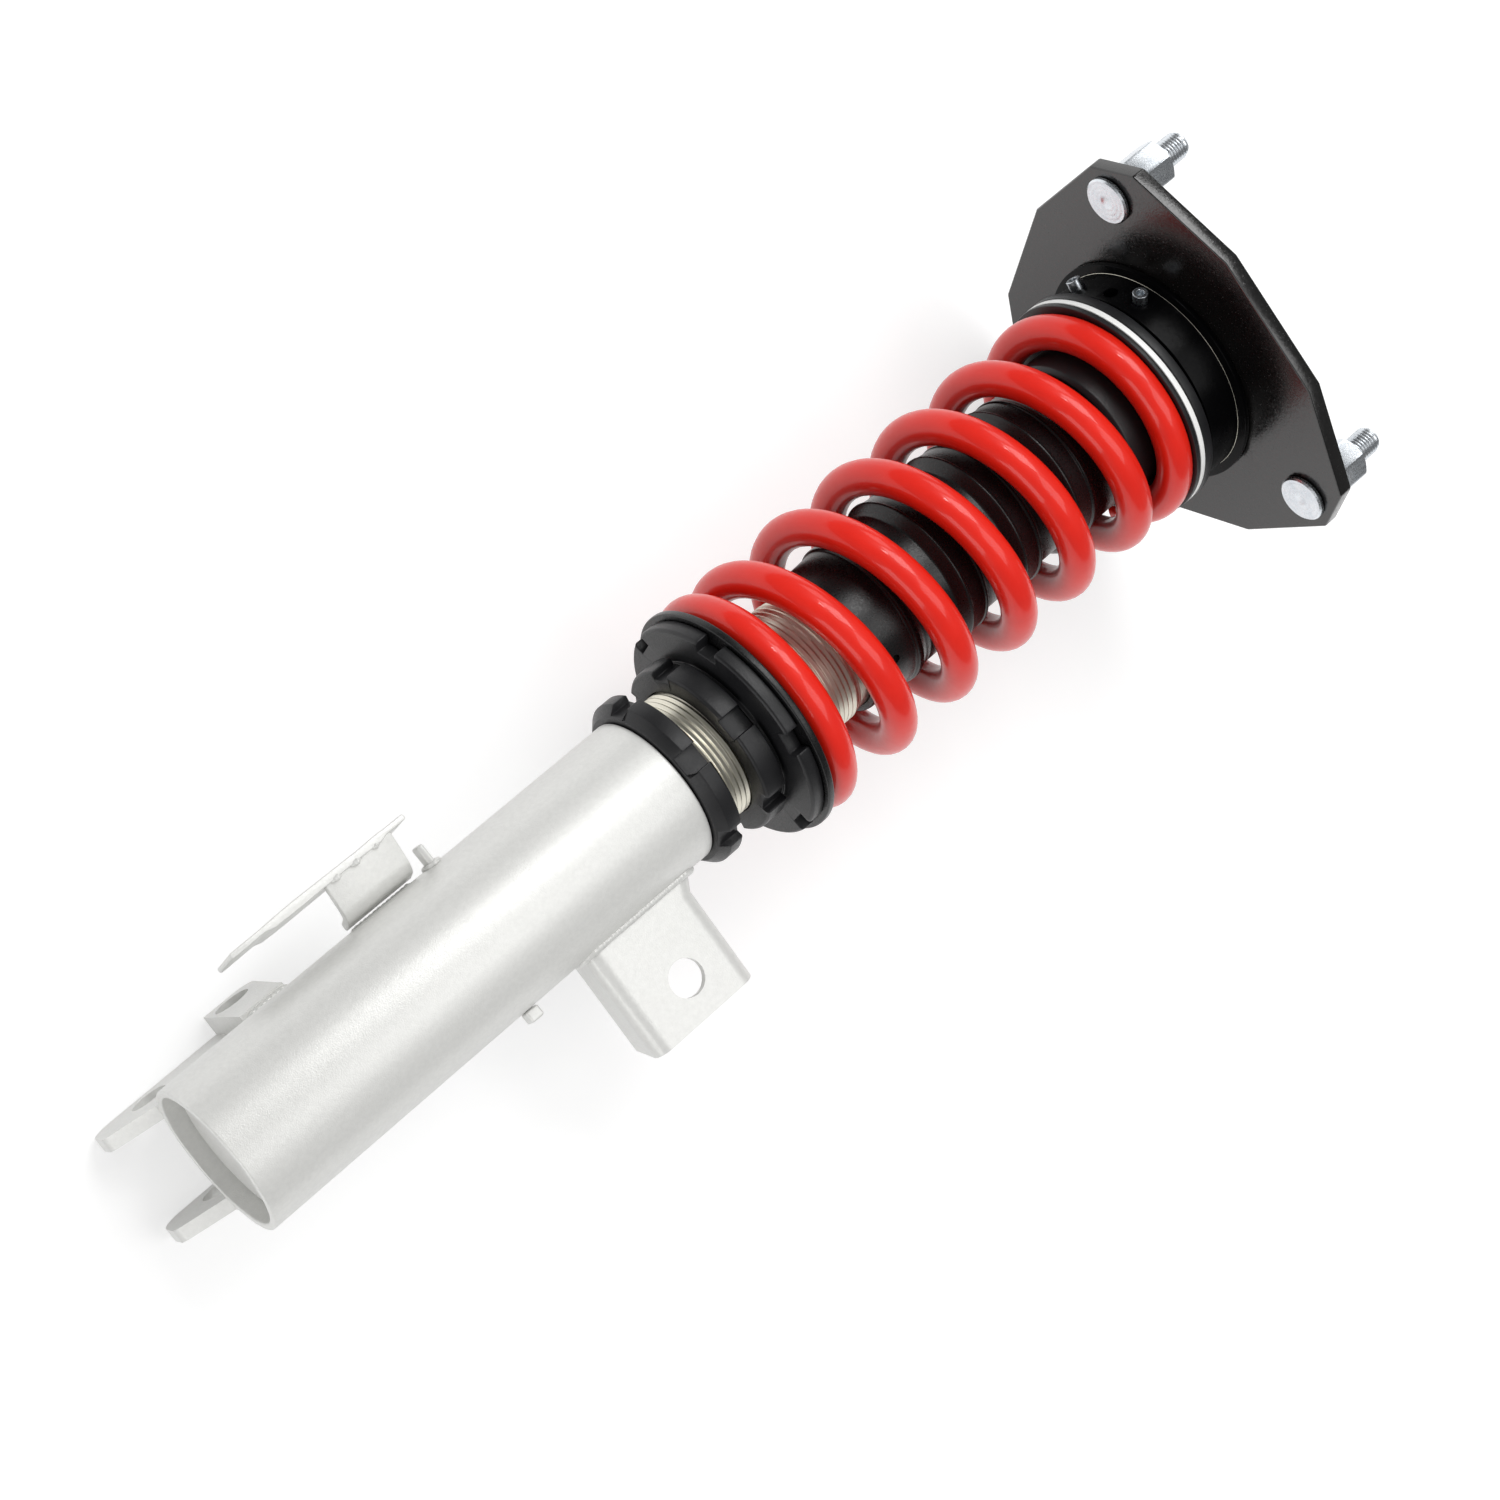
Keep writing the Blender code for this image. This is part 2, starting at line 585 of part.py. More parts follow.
def coil_spring():
    points = coil_points()
    print("least gap between the spring's turns, mm:", round(least_coil_gap(points), 2))
    curve = bpy.data.curves.new("coil_spring", "CURVE")
    curve.dimensions = "3D"
    curve.bevel_depth = WIRE_RADIUS * MM
    curve.bevel_resolution = 1
    curve.use_fill_caps = True
    spline = curve.splines.new("POLY")
    spline.points.add(len(points) - 1)
    for target, place in zip(spline.points, points):
        target.co = (*(place * MM), 1.0)
    piece = applied(linked("coil_spring", curve))
    # both end faces are ground flat
    room = COIL_RADIUS * 2
    grinder = ring("grinder", 1.0, room, COIL_LENGTH, COIL_LENGTH + room, MEDIUM_STEPS)
    piece = combined(piece, grinder, "DIFFERENCE")
    grinder = ring("grinder", 1.0, room, -room, 0.0, MEDIUM_STEPS)
    piece = combined(piece, grinder, "DIFFERENCE")
    return placed(piece, "red powder coat", COIL_FOOT)


# ----------------------------------------------------------------- damper

def damper_tube():
    foot = DAMPER_FOOT + CAP_THICKNESS + GAP
    length = DAMPER_TOP - foot
    thread = THREAD_TOP - foot
    outline = [
        (DAMPER_NECK_RADIUS, length), (DAMPER_NECK_RADIUS, thread),
        (THREAD_RADIUS, thread - (THREAD_RADIUS - DAMPER_NECK_RADIUS)), (THREAD_RADIUS, 0.0),
        (CYLINDER_RADIUS, 0.0), (CYLINDER_RADIUS, length),
    ]
    return placed(turned("damper_tube", outline, FINE_STEPS), "bare steel", foot)


def damper_base_cap():
    plug = CYLINDER_RADIUS - GAP
    flange = THREAD_RADIUS - GAP
    outline = [
        (0.0, CAP_THICKNESS + CAP_PLUG_HEIGHT), (plug, CAP_THICKNESS + CAP_PLUG_HEIGHT),
        (plug, CAP_THICKNESS), (flange, CAP_THICKNESS), (flange, 1.0), (flange - 1.0, 0.0), (0.0, 0.0),
    ]
    return placed(turned("damper_base_cap", outline, FINE_STEPS), "silver paint", DAMPER_FOOT)


def rod_guide():
    height = DAMPER_TOP - GUIDE_LENGTH
    piece = ring("rod_guide", ROD_RADIUS + GAP, CYLINDER_RADIUS - GAP, 0.0, GUIDE_LENGTH, MEDIUM_STEPS)
    return placed(piece, "bronze", height)


def gland_nut():
    inside = ROD_RADIUS + 2 * GAP
    outside = DAMPER_NECK_RADIUS - GAP
    piece = ring("gland_nut", inside, outside, 0.0, GLAND_THICKNESS, MEDIUM_STEPS, RIM_BREAK)
    return placed(piece, "black anodised", DAMPER_TOP + GAP)


def floating_piston():
    piece = rod("floating_piston", CYLINDER_RADIUS - GAP, 0.0, FLOATING_LENGTH, MEDIUM_STEPS)
    return placed(piece, "black anodised", DAMPER_FOOT + FLOATING_HEIGHT)


def dust_boot():
    top = upper_seat_foot() - GAP - BOOT_FOOT
    bore = DAMPER_NECK_RADIUS + GAP
    neck_top = BOOT_TOP_RADIUS
    pitch = (top - BOOT_FIRST_RIB) / BOOT_RIBS
    outline = [(neck_top, top)]
    for i in reversed(range(BOOT_RIBS)):
        rib = BOOT_FIRST_RIB + i * pitch
        above = neck_top if i == BOOT_RIBS - 1 else BOOT_VALLEY_RADIUS
        outline.append((above, rib + BOOT_RIB_WIDTH + 2.0))
        outline.append((BOOT_CREST_RADIUS - BOOT_CREST_FALL, rib + BOOT_RIB_WIDTH))
        outline.append((BOOT_CREST_RADIUS, rib))
        outline.append((BOOT_VALLEY_RADIUS, rib - 3.0))
    outline.append((BOOT_VALLEY_RADIUS, BOOT_CUFF_LENGTH + 6.0))
    outline.append((BOOT_LIP_RADIUS, BOOT_CUFF_LENGTH))
    outline.append((BOOT_LIP_RADIUS, BOOT_CUFF_LENGTH - 2.4))
    outline.append((BOOT_LIP_RADIUS - 1.0, BOOT_CUFF_LENGTH - 3.4))
    outline.append((BOOT_CUFF_RADIUS, 0.0))
    outline.append((bore, 0.0))
    outline.append((bore, top))
    return placed(turned("dust_boot", outline, MEDIUM_STEPS), "black rubber", BOOT_FOOT)


# ------------------------------------------------------- rod and its stack

def upper_seat_height():
    washers = THIN_WASHER + NYLON_WASHER
    return COIL_TOP + washers + 3 * GAP


def upper_seat_foot():
    return upper_seat_height() - UPPER_SPIGOT_DEPTH


def seat_top():
    return upper_seat_height() + UPPER_SEAT_FLANGE


def rod_shoulder():
    return seat_top() - SEAT_WEB - GAP


def ball_centre():
    return hub_height() + HUB_LIP_HEIGHT + GAP + RACE_LENGTH / 2


def hub_height():
    return seat_top() + SWIVEL_CLEARANCE


def plate_near():
    return hub_height() + HUB_HEIGHT


def piston_rod():
    foot = PISTON_HEIGHT - PISTON_NUT_LENGTH - 3 * GAP
    top = plate_near() + STEM_PROUD - foot
    shoulder = rod_shoulder() - foot
    piston_seat = PISTON_HEIGHT + PISTON_LENGTH + GAP - foot
    outline = [
        (0.0, top), (STEM_RADIUS - RIM_BREAK, top), (STEM_RADIUS, top - RIM_BREAK),
        (STEM_RADIUS, shoulder), (ROD_RADIUS, shoulder), (ROD_RADIUS, piston_seat),
        (PISTON_STEM_RADIUS, piston_seat), (PISTON_STEM_RADIUS, 0.0), (0.0, 0.0),
    ]
    piece = turned("piston_rod", outline, MEDIUM_STEPS)
    socket = prism("socket", hexagon(2 * STEM_SOCKET_RADIUS), top - STEM_SOCKET_DEPTH, top + 5.0)
    return placed(combined(piece, socket, "DIFFERENCE"), "chrome", foot)


def piston():
    bore = PISTON_STEM_RADIUS + GAP
    piece = ring("piston", bore, CYLINDER_RADIUS - GAP, 0.0, PISTON_LENGTH, MEDIUM_STEPS, RIM_BREAK)
    return placed(piece, "bronze", PISTON_HEIGHT)


def piston_nut():
    piece = prism("piston_nut", hexagon(2 * PISTON_NUT_RADIUS), 0.0, PISTON_NUT_LENGTH)
    bore = rod("bore", PISTON_STEM_RADIUS + GAP, -5.0, 2 * PISTON_NUT_LENGTH, COARSE_STEPS)
    piece = combined(piece, bore, "DIFFERENCE")
    return placed(piece, "zinc plate", PISTON_HEIGHT - GAP - PISTON_NUT_LENGTH)


def bump_stop():
    inside = ROD_RADIUS + GAP
    waist = BUMP_STOP_RADIUS - 3.0
    third = BUMP_STOP_LENGTH / 3
    outline = [
        (BUMP_STOP_RADIUS, BUMP_STOP_LENGTH), (BUMP_STOP_RADIUS, 2 * third + 2.0),
        (waist, 2 * third), (BUMP_STOP_RADIUS, 2 * third - 2.0), (BUMP_STOP_RADIUS - 1.0, third + 2.0),
        (waist - 1.0, third), (BUMP_STOP_RADIUS - 2.0, third - 2.0), (BUMP_STOP_RADIUS - 5.0, 0.0),
        (inside, 0.0), (inside, BUMP_STOP_LENGTH),
    ]
    height = upper_seat_foot() - GAP - BUMP_STOP_LENGTH
    return placed(turned("bump_stop", outline, MEDIUM_STEPS), "yellow foam", height)


def seat_washer(name, look, height, thickness):
    piece = ring(name, SPIGOT_RADIUS + GAP, UPPER_SEAT_RADIUS, 0.0, thickness, FINE_STEPS, 0.3)
    return placed(piece, look, height)


def upper_spring_seat():
    flange = UPPER_SPIGOT_DEPTH
    top = flange + UPPER_SEAT_FLANGE
    step = rod_shoulder() + GAP - upper_seat_foot()
    outline = [
        (UPPER_SEAT_RADIUS - RIM_BREAK, top), (UPPER_SEAT_RADIUS, top - RIM_BREAK),
        (UPPER_SEAT_RADIUS, flange), (SPIGOT_RADIUS, flange), (SPIGOT_RADIUS, 1.5),
        (SPIGOT_RADIUS - 1.5, 0.0), (ROD_RADIUS + GAP, 0.0), (ROD_RADIUS + GAP, step),
        (STEM_RADIUS + GAP, step), (STEM_RADIUS + GAP, top),
    ]
    return placed(turned("upper_spring_seat", outline, FINE_STEPS), "black anodised", upper_seat_foot())


def ball_spacer():
    height = seat_top() + GAP
    length = ball_centre() - BALL_LENGTH / 2 - GAP - height
    piece = ring("ball_spacer", STEM_RADIUS + GAP, SPACER_RADIUS, 0.0, length, MEDIUM_STEPS)
    return placed(piece, "zinc plate", height)


def sphere_side(radius, half_length, rising):
    # points of a sphere's side view between two level cuts
    limit = math.degrees(math.asin(half_length / radius))
    ends = (-limit, limit) if rising else (limit, -limit)
    return arc((0.0, 0.0), radius, *ends, 8)


def pillow_ball():
    half = BALL_LENGTH / 2
    bore = STEM_RADIUS + GAP
    outline = sphere_side(BALL_RADIUS, half, False) + [(bore, -half), (bore, half)]
    return placed(turned("pillow_ball", outline, MEDIUM_STEPS), "chrome", ball_centre())


def ball_race():
    half = RACE_LENGTH / 2
    cup = sphere_side(BALL_RADIUS + BALL_CLEARANCE, half, True)
    piece = turned("ball_race", [(RACE_RADIUS, half), (RACE_RADIUS, -half)] + cup, MEDIUM_STEPS)
    return placed(piece, "bare steel", ball_centre())


def top_nut():
    height = ball_centre() + BALL_LENGTH / 2 + GAP
    flange = rod("top_nut", TOP_NUT_RADIUS, 0.0, TOP_NUT_FLANGE, MEDIUM_STEPS)
    flats = prism("flats", hexagon(TOP_NUT_ACROSS), TOP_NUT_FLANGE / 2, TOP_NUT_HEIGHT)
    piece = combined(flange, flats, "UNION")
    bore = rod("bore", STEM_RADIUS + GAP, -5.0, 2 * TOP_NUT_HEIGHT, MEDIUM_STEPS)
    return placed(combined(piece, bore, "DIFFERENCE"), "zinc plate", height)


# ------------------------------------------------------------------ mount

def snap_ring_height():
    return ball_centre() + RACE_LENGTH / 2 + GAP


def mount_hub():
    top = HUB_HEIGHT + PLATE_THICKNESS
    bore = RACE_RADIUS + GAP
    groove = SNAP_RING_RADIUS + GAP
    groove_low = snap_ring_height() - hub_height() - GAP
    groove_high = groove_low + SNAP_RING_THICKNESS + 2 * GAP
    outline = [
        (HUB_SPIGOT_RADIUS, top), (HUB_SPIGOT_RADIUS, HUB_HEIGHT - GAP), (BOSS_RADIUS, HUB_HEIGHT - GAP),
        (BOSS_RADIUS, HUB_LOW_HEIGHT), (HUB_RADIUS, HUB_LOW_HEIGHT), (HUB_RADIUS, RIM_BREAK),
        (HUB_RADIUS - RIM_BREAK, 0.0), (HUB_LIP_RADIUS, 0.0), (HUB_LIP_RADIUS, HUB_LIP_HEIGHT),
        (bore, HUB_LIP_HEIGHT), (bore, groove_low), (groove, groove_low), (groove, groove_high),
        (bore, groove_high), (bore, top),
    ]
    piece = turned("mount_hub", outline, FINE_STEPS)
    angle, height, radius, depth = SPANNER_HOLE
    frame = across(angle, height)
    outline = circle((0.0, 0.0), radius, COARSE_STEPS)
    dimple = prism("dimple", outline, HUB_RADIUS - depth, BOSS_RADIUS + 5.0, frame)
    piece = combined(piece, dimple, "DIFFERENCE")
    for angle, height in SET_SCREWS:
        frame = across(angle, height)
        outline = circle((0.0, 0.0), SET_SCREW_RADIUS + GAP, COARSE_STEPS)
        floor = HUB_RADIUS + SET_SCREW_PROUD - SET_SCREW_LENGTH - GAP
        piece = combined(piece, prism("tapping", outline, floor, BOSS_RADIUS + 5.0, frame), "DIFFERENCE")
    return placed(piece, "gloss black", hub_height())


def set_screw(name, angle, height):
    outline = circle((0.0, 0.0), SET_SCREW_RADIUS, COARSE_STEPS)
    piece = prism(name, outline, -SET_SCREW_LENGTH, 0.0)
    socket = prism("socket", hexagon(SET_SCREW_RADIUS), -SET_SCREW_RADIUS, 5.0)
    piece = combined(piece, socket, "DIFFERENCE")
    piece.data.transform(Matrix.Rotation(math.radians(90.0), 4, "Y"))
    piece.data.transform(Matrix.Rotation(math.radians(angle), 4, "Z"))
    reach = HUB_RADIUS + SET_SCREW_PROUD
    side = (reach * math.cos(math.radians(angle)), reach * math.sin(math.radians(angle)))
    return placed(piece, "zinc plate", hub_height() + height, side)


def snap_ring():
    piece = ring("snap_ring", SNAP_RING_INSIDE, SNAP_RING_RADIUS, 0.0, SNAP_RING_THICKNESS, FINE_STEPS)
    return placed(piece, "bare steel", snap_ring_height())


def plate_outline():
    corners = []
    for sign, half in ((1, PLATE_CORNERS), (-1, reversed(PLATE_CORNERS))):
        for angle, distance in half:
            turn = math.radians(90.0 + sign * angle)
            corners.append((distance * math.cos(turn), distance * math.sin(turn)))
    return corners


def stud_place(angle, distance):
    turn = math.radians(angle)
    return (distance * math.cos(turn), distance * math.sin(turn))


def mount_plate():
    piece = prism("mount_plate", plate_outline(), 0.0, PLATE_THICKNESS)
    piece = bevelled(piece, PLATE_BREAK)
    openings = [((0.0, 0.0), HUB_SPIGOT_RADIUS + GAP, FINE_STEPS)]
    openings += [(stud_place(*place), STUD_RADIUS + GAP, COARSE_STEPS) for place in STUD_PLACES]
    for centre, radius, steps in openings:
        hole = prism("hole", circle(centre, radius, steps), -5.0, 2 * PLATE_THICKNESS)
        piece = combined(piece, hole, "DIFFERENCE")
    return placed(piece, "satin black", plate_near())


def mount_stud(name, place):
    # its origin is the plate's near face
    tip = PLATE_THICKNESS + STUD_REACH
    head = -GAP - STUD_HEAD_THICKNESS
    outline = [
        (0.0, tip), (STUD_RADIUS - 1.0, tip), (STUD_RADIUS, tip - 1.0), (STUD_RADIUS, -GAP),
        (STUD_HEAD_RADIUS, -GAP), (STUD_HEAD_RADIUS, head + RIM_BREAK),
        (STUD_HEAD_RADIUS - RIM_BREAK, head), (0.0, head),
    ]
    return placed(turned(name, outline, MEDIUM_STEPS), "zinc plate", plate_near(), stud_place(*place))


def stud_nut(name, place):
    flange = turned(name, [
        (0.0, NUT_FLANGE_THICKNESS + 0.8), (NUT_ACROSS / 2, NUT_FLANGE_THICKNESS + 0.8),
        (NUT_FLANGE_RADIUS, 1.0), (NUT_FLANGE_RADIUS, 0.0), (0.0, 0.0),
    ], MEDIUM_STEPS)
    flats = prism("flats", hexagon(NUT_ACROSS), 1.0, NUT_HEIGHT)
    piece = combined(flange, flats, "UNION")
    bore = rod("bore", STUD_RADIUS + GAP, -5.0, 2 * NUT_HEIGHT, MEDIUM_STEPS)
    piece = combined(piece, bore, "DIFFERENCE")
    return placed(piece, "zinc plate", plate_near() + PLATE_THICKNESS + GAP, stud_place(*place))


# --------------------------------------------------------------- assembly

def lying_angle():
    # The surface touches the ears' rounded feet and the plate's near lower edge.
    centre = Vector((EAR_FOOT + EAR_CORNER, EAR_DEPTH - EAR_CORNER))
    lowest = PLATE_CORNERS[-1]
    edge_depth = lowest[1] * math.cos(math.radians(180.0 - lowest[0]))
    edge = Vector((plate_near() + PLATE_BREAK, edge_depth))
    line = edge - centre
    return math.atan2(line.y, line.x) - math.asin(EAR_CORNER / line.length)


def lay_down(pieces):
    # The whole strut hangs on one empty, turned onto its side; the origin then
    # comes to the middle of the object's box, on the surface it lies on.
    strut = linked("strut_axis", None)
    tilt = lying_angle()
    strut.matrix_world = Matrix((
        (0.0, -math.sin(tilt), math.cos(tilt), 0.0),
        (1.0, 0.0, 0.0, 0.0),
        (0.0, math.cos(tilt), math.sin(tilt), 0.0),
        (0.0, 0.0, 0.0, 1.0),
    ))
    corners = []
    for piece in pieces:
        piece.parent = strut
        place = strut.matrix_world @ Matrix.Translation(piece.location)
        corners += [place @ vertex.co for vertex in piece.data.vertices]
    low = Vector(min(c[i] for c in corners) for i in range(3))
    high = Vector(max(c[i] for c in corners) for i in range(3))
    middle = (low + high) / 2
    strut.location = (-middle.x, -middle.y, -low.z)


def main():
    for old in list(bpy.data.objects):
        bpy.data.objects.remove(old)
    pieces = [
        housing_tube(), knuckle_ear("knuckle_ear_right", 1), knuckle_ear("knuckle_ear_left", -1),
        link_bracket(), hose_bracket(), tube_tab("clip_tab", CLIP_TAB), tube_tab("stop_lug", STOP_LUG),
        lock_ring(), jam_collar(), seat_collar(), lower_spring_pad(), coil_spring(),
        damper_tube(), damper_base_cap(), rod_guide(), gland_nut(), floating_piston(), dust_boot(),
        piston_rod(), piston(), piston_nut(), bump_stop(),
    ]
    thin_height = COIL_TOP + GAP
    nylon_height = thin_height + THIN_WASHER + GAP
    pieces.append(seat_washer("thin_washer", "black anodised", thin_height, THIN_WASHER))
    pieces.append(seat_washer("nylon_washer", "white nylon", nylon_height, NYLON_WASHER))
    pieces += [upper_spring_seat(), ball_spacer(), pillow_ball(), top_nut(), ball_race()]
    pieces += [mount_hub(), snap_ring(), mount_plate()]
    for i, (angle, height) in enumerate(SET_SCREWS):
        pieces.append(set_screw(f"set_screw_{i + 1}", angle, height))
    for i, place in enumerate(STUD_PLACES):
        pieces.append(mount_stud(f"mount_stud_{i + 1}", place))
        pieces.append(stud_nut(f"stud_nut_{i + 1}", place))
    lay_down(pieces)


main()
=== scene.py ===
import json
import math

import bmesh
import bpy
from mathutils import Matrix, Vector, noise


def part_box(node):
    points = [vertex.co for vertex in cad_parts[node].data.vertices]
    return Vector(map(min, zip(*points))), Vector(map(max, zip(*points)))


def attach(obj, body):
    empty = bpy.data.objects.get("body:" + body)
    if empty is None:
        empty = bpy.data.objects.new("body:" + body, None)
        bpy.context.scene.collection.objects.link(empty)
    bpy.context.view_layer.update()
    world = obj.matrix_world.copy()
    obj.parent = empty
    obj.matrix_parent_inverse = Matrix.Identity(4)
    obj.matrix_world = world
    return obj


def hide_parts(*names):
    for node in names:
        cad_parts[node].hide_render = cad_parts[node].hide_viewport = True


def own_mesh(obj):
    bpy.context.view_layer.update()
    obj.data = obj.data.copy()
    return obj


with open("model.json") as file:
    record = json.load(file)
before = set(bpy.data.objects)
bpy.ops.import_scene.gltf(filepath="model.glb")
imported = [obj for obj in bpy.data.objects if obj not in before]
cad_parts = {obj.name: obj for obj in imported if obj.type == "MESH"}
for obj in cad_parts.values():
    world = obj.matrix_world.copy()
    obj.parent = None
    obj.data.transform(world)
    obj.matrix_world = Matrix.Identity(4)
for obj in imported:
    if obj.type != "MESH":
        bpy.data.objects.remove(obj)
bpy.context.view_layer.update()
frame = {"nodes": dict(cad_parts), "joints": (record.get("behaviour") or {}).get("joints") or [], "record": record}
nodes = frame["nodes"]
joints = {joint["name"]: joint for joint in frame["joints"]}
slotOf = {part["node"]: part["material_slot"] for part in frame["record"]["subparts"]}

# Lengths are in millimetres along or out from the strut's own axis, angles in degrees.
mm = 0.001

# The strut's own frame, worked out from its solids: Z runs up the axis from the open foot.
axis = Vector(joints["stroke"]["axis"]).normalized()
sideways = Vector((0.0, 1.0, 0.0))
lift = axis.cross(sideways)
ballCentre = Vector(joints["mount_swivel"]["pos_m"])
tubePoints = [vertex.co for vertex in nodes["housing_tube"].data.vertices]
openFoot = ballCentre + axis * min((point - ballCentre).dot(axis) for point in tubePoints)
strut = Matrix.Translation(openFoot) @ Matrix((
    (sideways.x, lift.x, axis.x, 0.0),
    (sideways.y, lift.y, axis.y, 0.0),
    (sideways.z, lift.z, axis.z, 0.0),
    (0.0, 0.0, 0.0, 1.0),
)) @ Matrix.Scale(mm, 4)


def span(node):
    heights = [(vertex.co - openFoot).dot(axis) / mm for vertex in nodes[node].data.vertices]
    return min(heights), max(heights)


def widest(node):
    return max(((vertex.co - openFoot).cross(axis)).length for vertex in nodes[node].data.vertices) / mm


def middleOf(node):
    low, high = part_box(node)
    return strut.inverted() @ ((low + high) / 2)


def colour(text):
    values = []
    for start in (1, 3, 5):
        value = int(text[start:start + 2], 16) / 255
        values.append(value / 12.92 if value <= 0.04045 else ((value + 0.055) / 1.055) ** 2.4)
    return (*values, 1.0)


def addNode(tree, kind, settings=None, inputs=None):
    node = tree.nodes.new(kind)
    for key, value in (settings or {}).items():
        setattr(node, key, value)
    for key, value in (inputs or {}).items():
        if isinstance(value, bpy.types.NodeSocket):
            tree.links.new(value, node.inputs[key])
        else:
            node.inputs[key].default_value = value
    return node


pattern = {
    "mottleEdges": (0.32, 0.68),    # where the mottle turns from the second colour to the base
    "grainEdges": (0.3, 0.7),
    "leastRoughness": 0.02,
    "depth": 0.5,                   # relief, as a share of the size of the pattern
    "turnedLines": 0.5,             # mm between tool marks, drawn coarser than real so that they show
    "coatRoughness": 0.08,
}


def surface(name, base, second, roughness, metallic, grain, bump, mottle=14.0, coat=0.0, specular=0.5,
            spread=0.08, turned=0.0):
    # mottle and grain are sizes in mm: one mixes the two colours, the other is the fine relief
    material = bpy.data.materials.new(name)
    material.use_nodes = True
    tree = material.node_tree
    shader = tree.nodes["Principled BSDF"]
    place = addNode(tree, "ShaderNodeTexCoord").outputs["Object"]
    soft = addNode(tree, "ShaderNodeTexNoise", inputs={
        "Vector": place, "Scale": 1 / (mottle * mm), "Detail": 3.0, "Roughness": 0.55,
    }).outputs["Fac"]
    fine = addNode(tree, "ShaderNodeTexNoise", inputs={
        "Vector": place, "Scale": 1 / (grain * mm), "Detail": 2.0, "Roughness": 0.6,
    }).outputs["Fac"]
    ramp = addNode(tree, "ShaderNodeValToRGB", inputs={"Fac": soft})
    for stop, edge, tone in zip(ramp.color_ramp.elements, pattern["mottleEdges"], (second, base)):
        stop.position = edge
        stop.color = colour(tone)
    tree.links.new(ramp.outputs["Color"], shader.inputs["Base Color"])
    rough = addNode(tree, "ShaderNodeMapRange", inputs={
        "Value": fine, "From Min": pattern["grainEdges"][0], "From Max": pattern["grainEdges"][1],
        "To Min": max(roughness - spread, pattern["leastRoughness"]), "To Max": roughness + spread,
    }).outputs["Result"]
    tree.links.new(rough, shader.inputs["Roughness"])
    normal = addNode(tree, "ShaderNodeBump", inputs={
        "Strength": bump, "Distance": grain * mm * pattern["depth"], "Height": fine,
    }).outputs["Normal"]
    if turned:
        step = pattern["turnedLines"] * mm
        along = addNode(tree, "ShaderNodeVectorMath", {"operation": "DOT_PRODUCT"}, {
            0: place, 1: tuple(axis),
        }).outputs["Value"]
        lines = addNode(tree, "ShaderNodeTexNoise", {"noise_dimensions": "1D"}, {
            "W": along, "Scale": 1 / step, "Detail": 3.0, "Roughness": 0.7,
        }).outputs["Fac"]
        normal = addNode(tree, "ShaderNodeBump", inputs={
            "Strength": turned, "Distance": step * pattern["depth"], "Height": lines, "Normal": normal,
        }).outputs["Normal"]
    tree.links.new(normal, shader.inputs["Normal"])
    shader.inputs["Metallic"].default_value = metallic
    if metallic < 1.0:
        shader.inputs["Specular IOR Level"].default_value = specular
    shader.inputs["Coat Weight"].default_value = coat
    shader.inputs["Coat Roughness"].default_value = pattern["coatRoughness"]
    return material


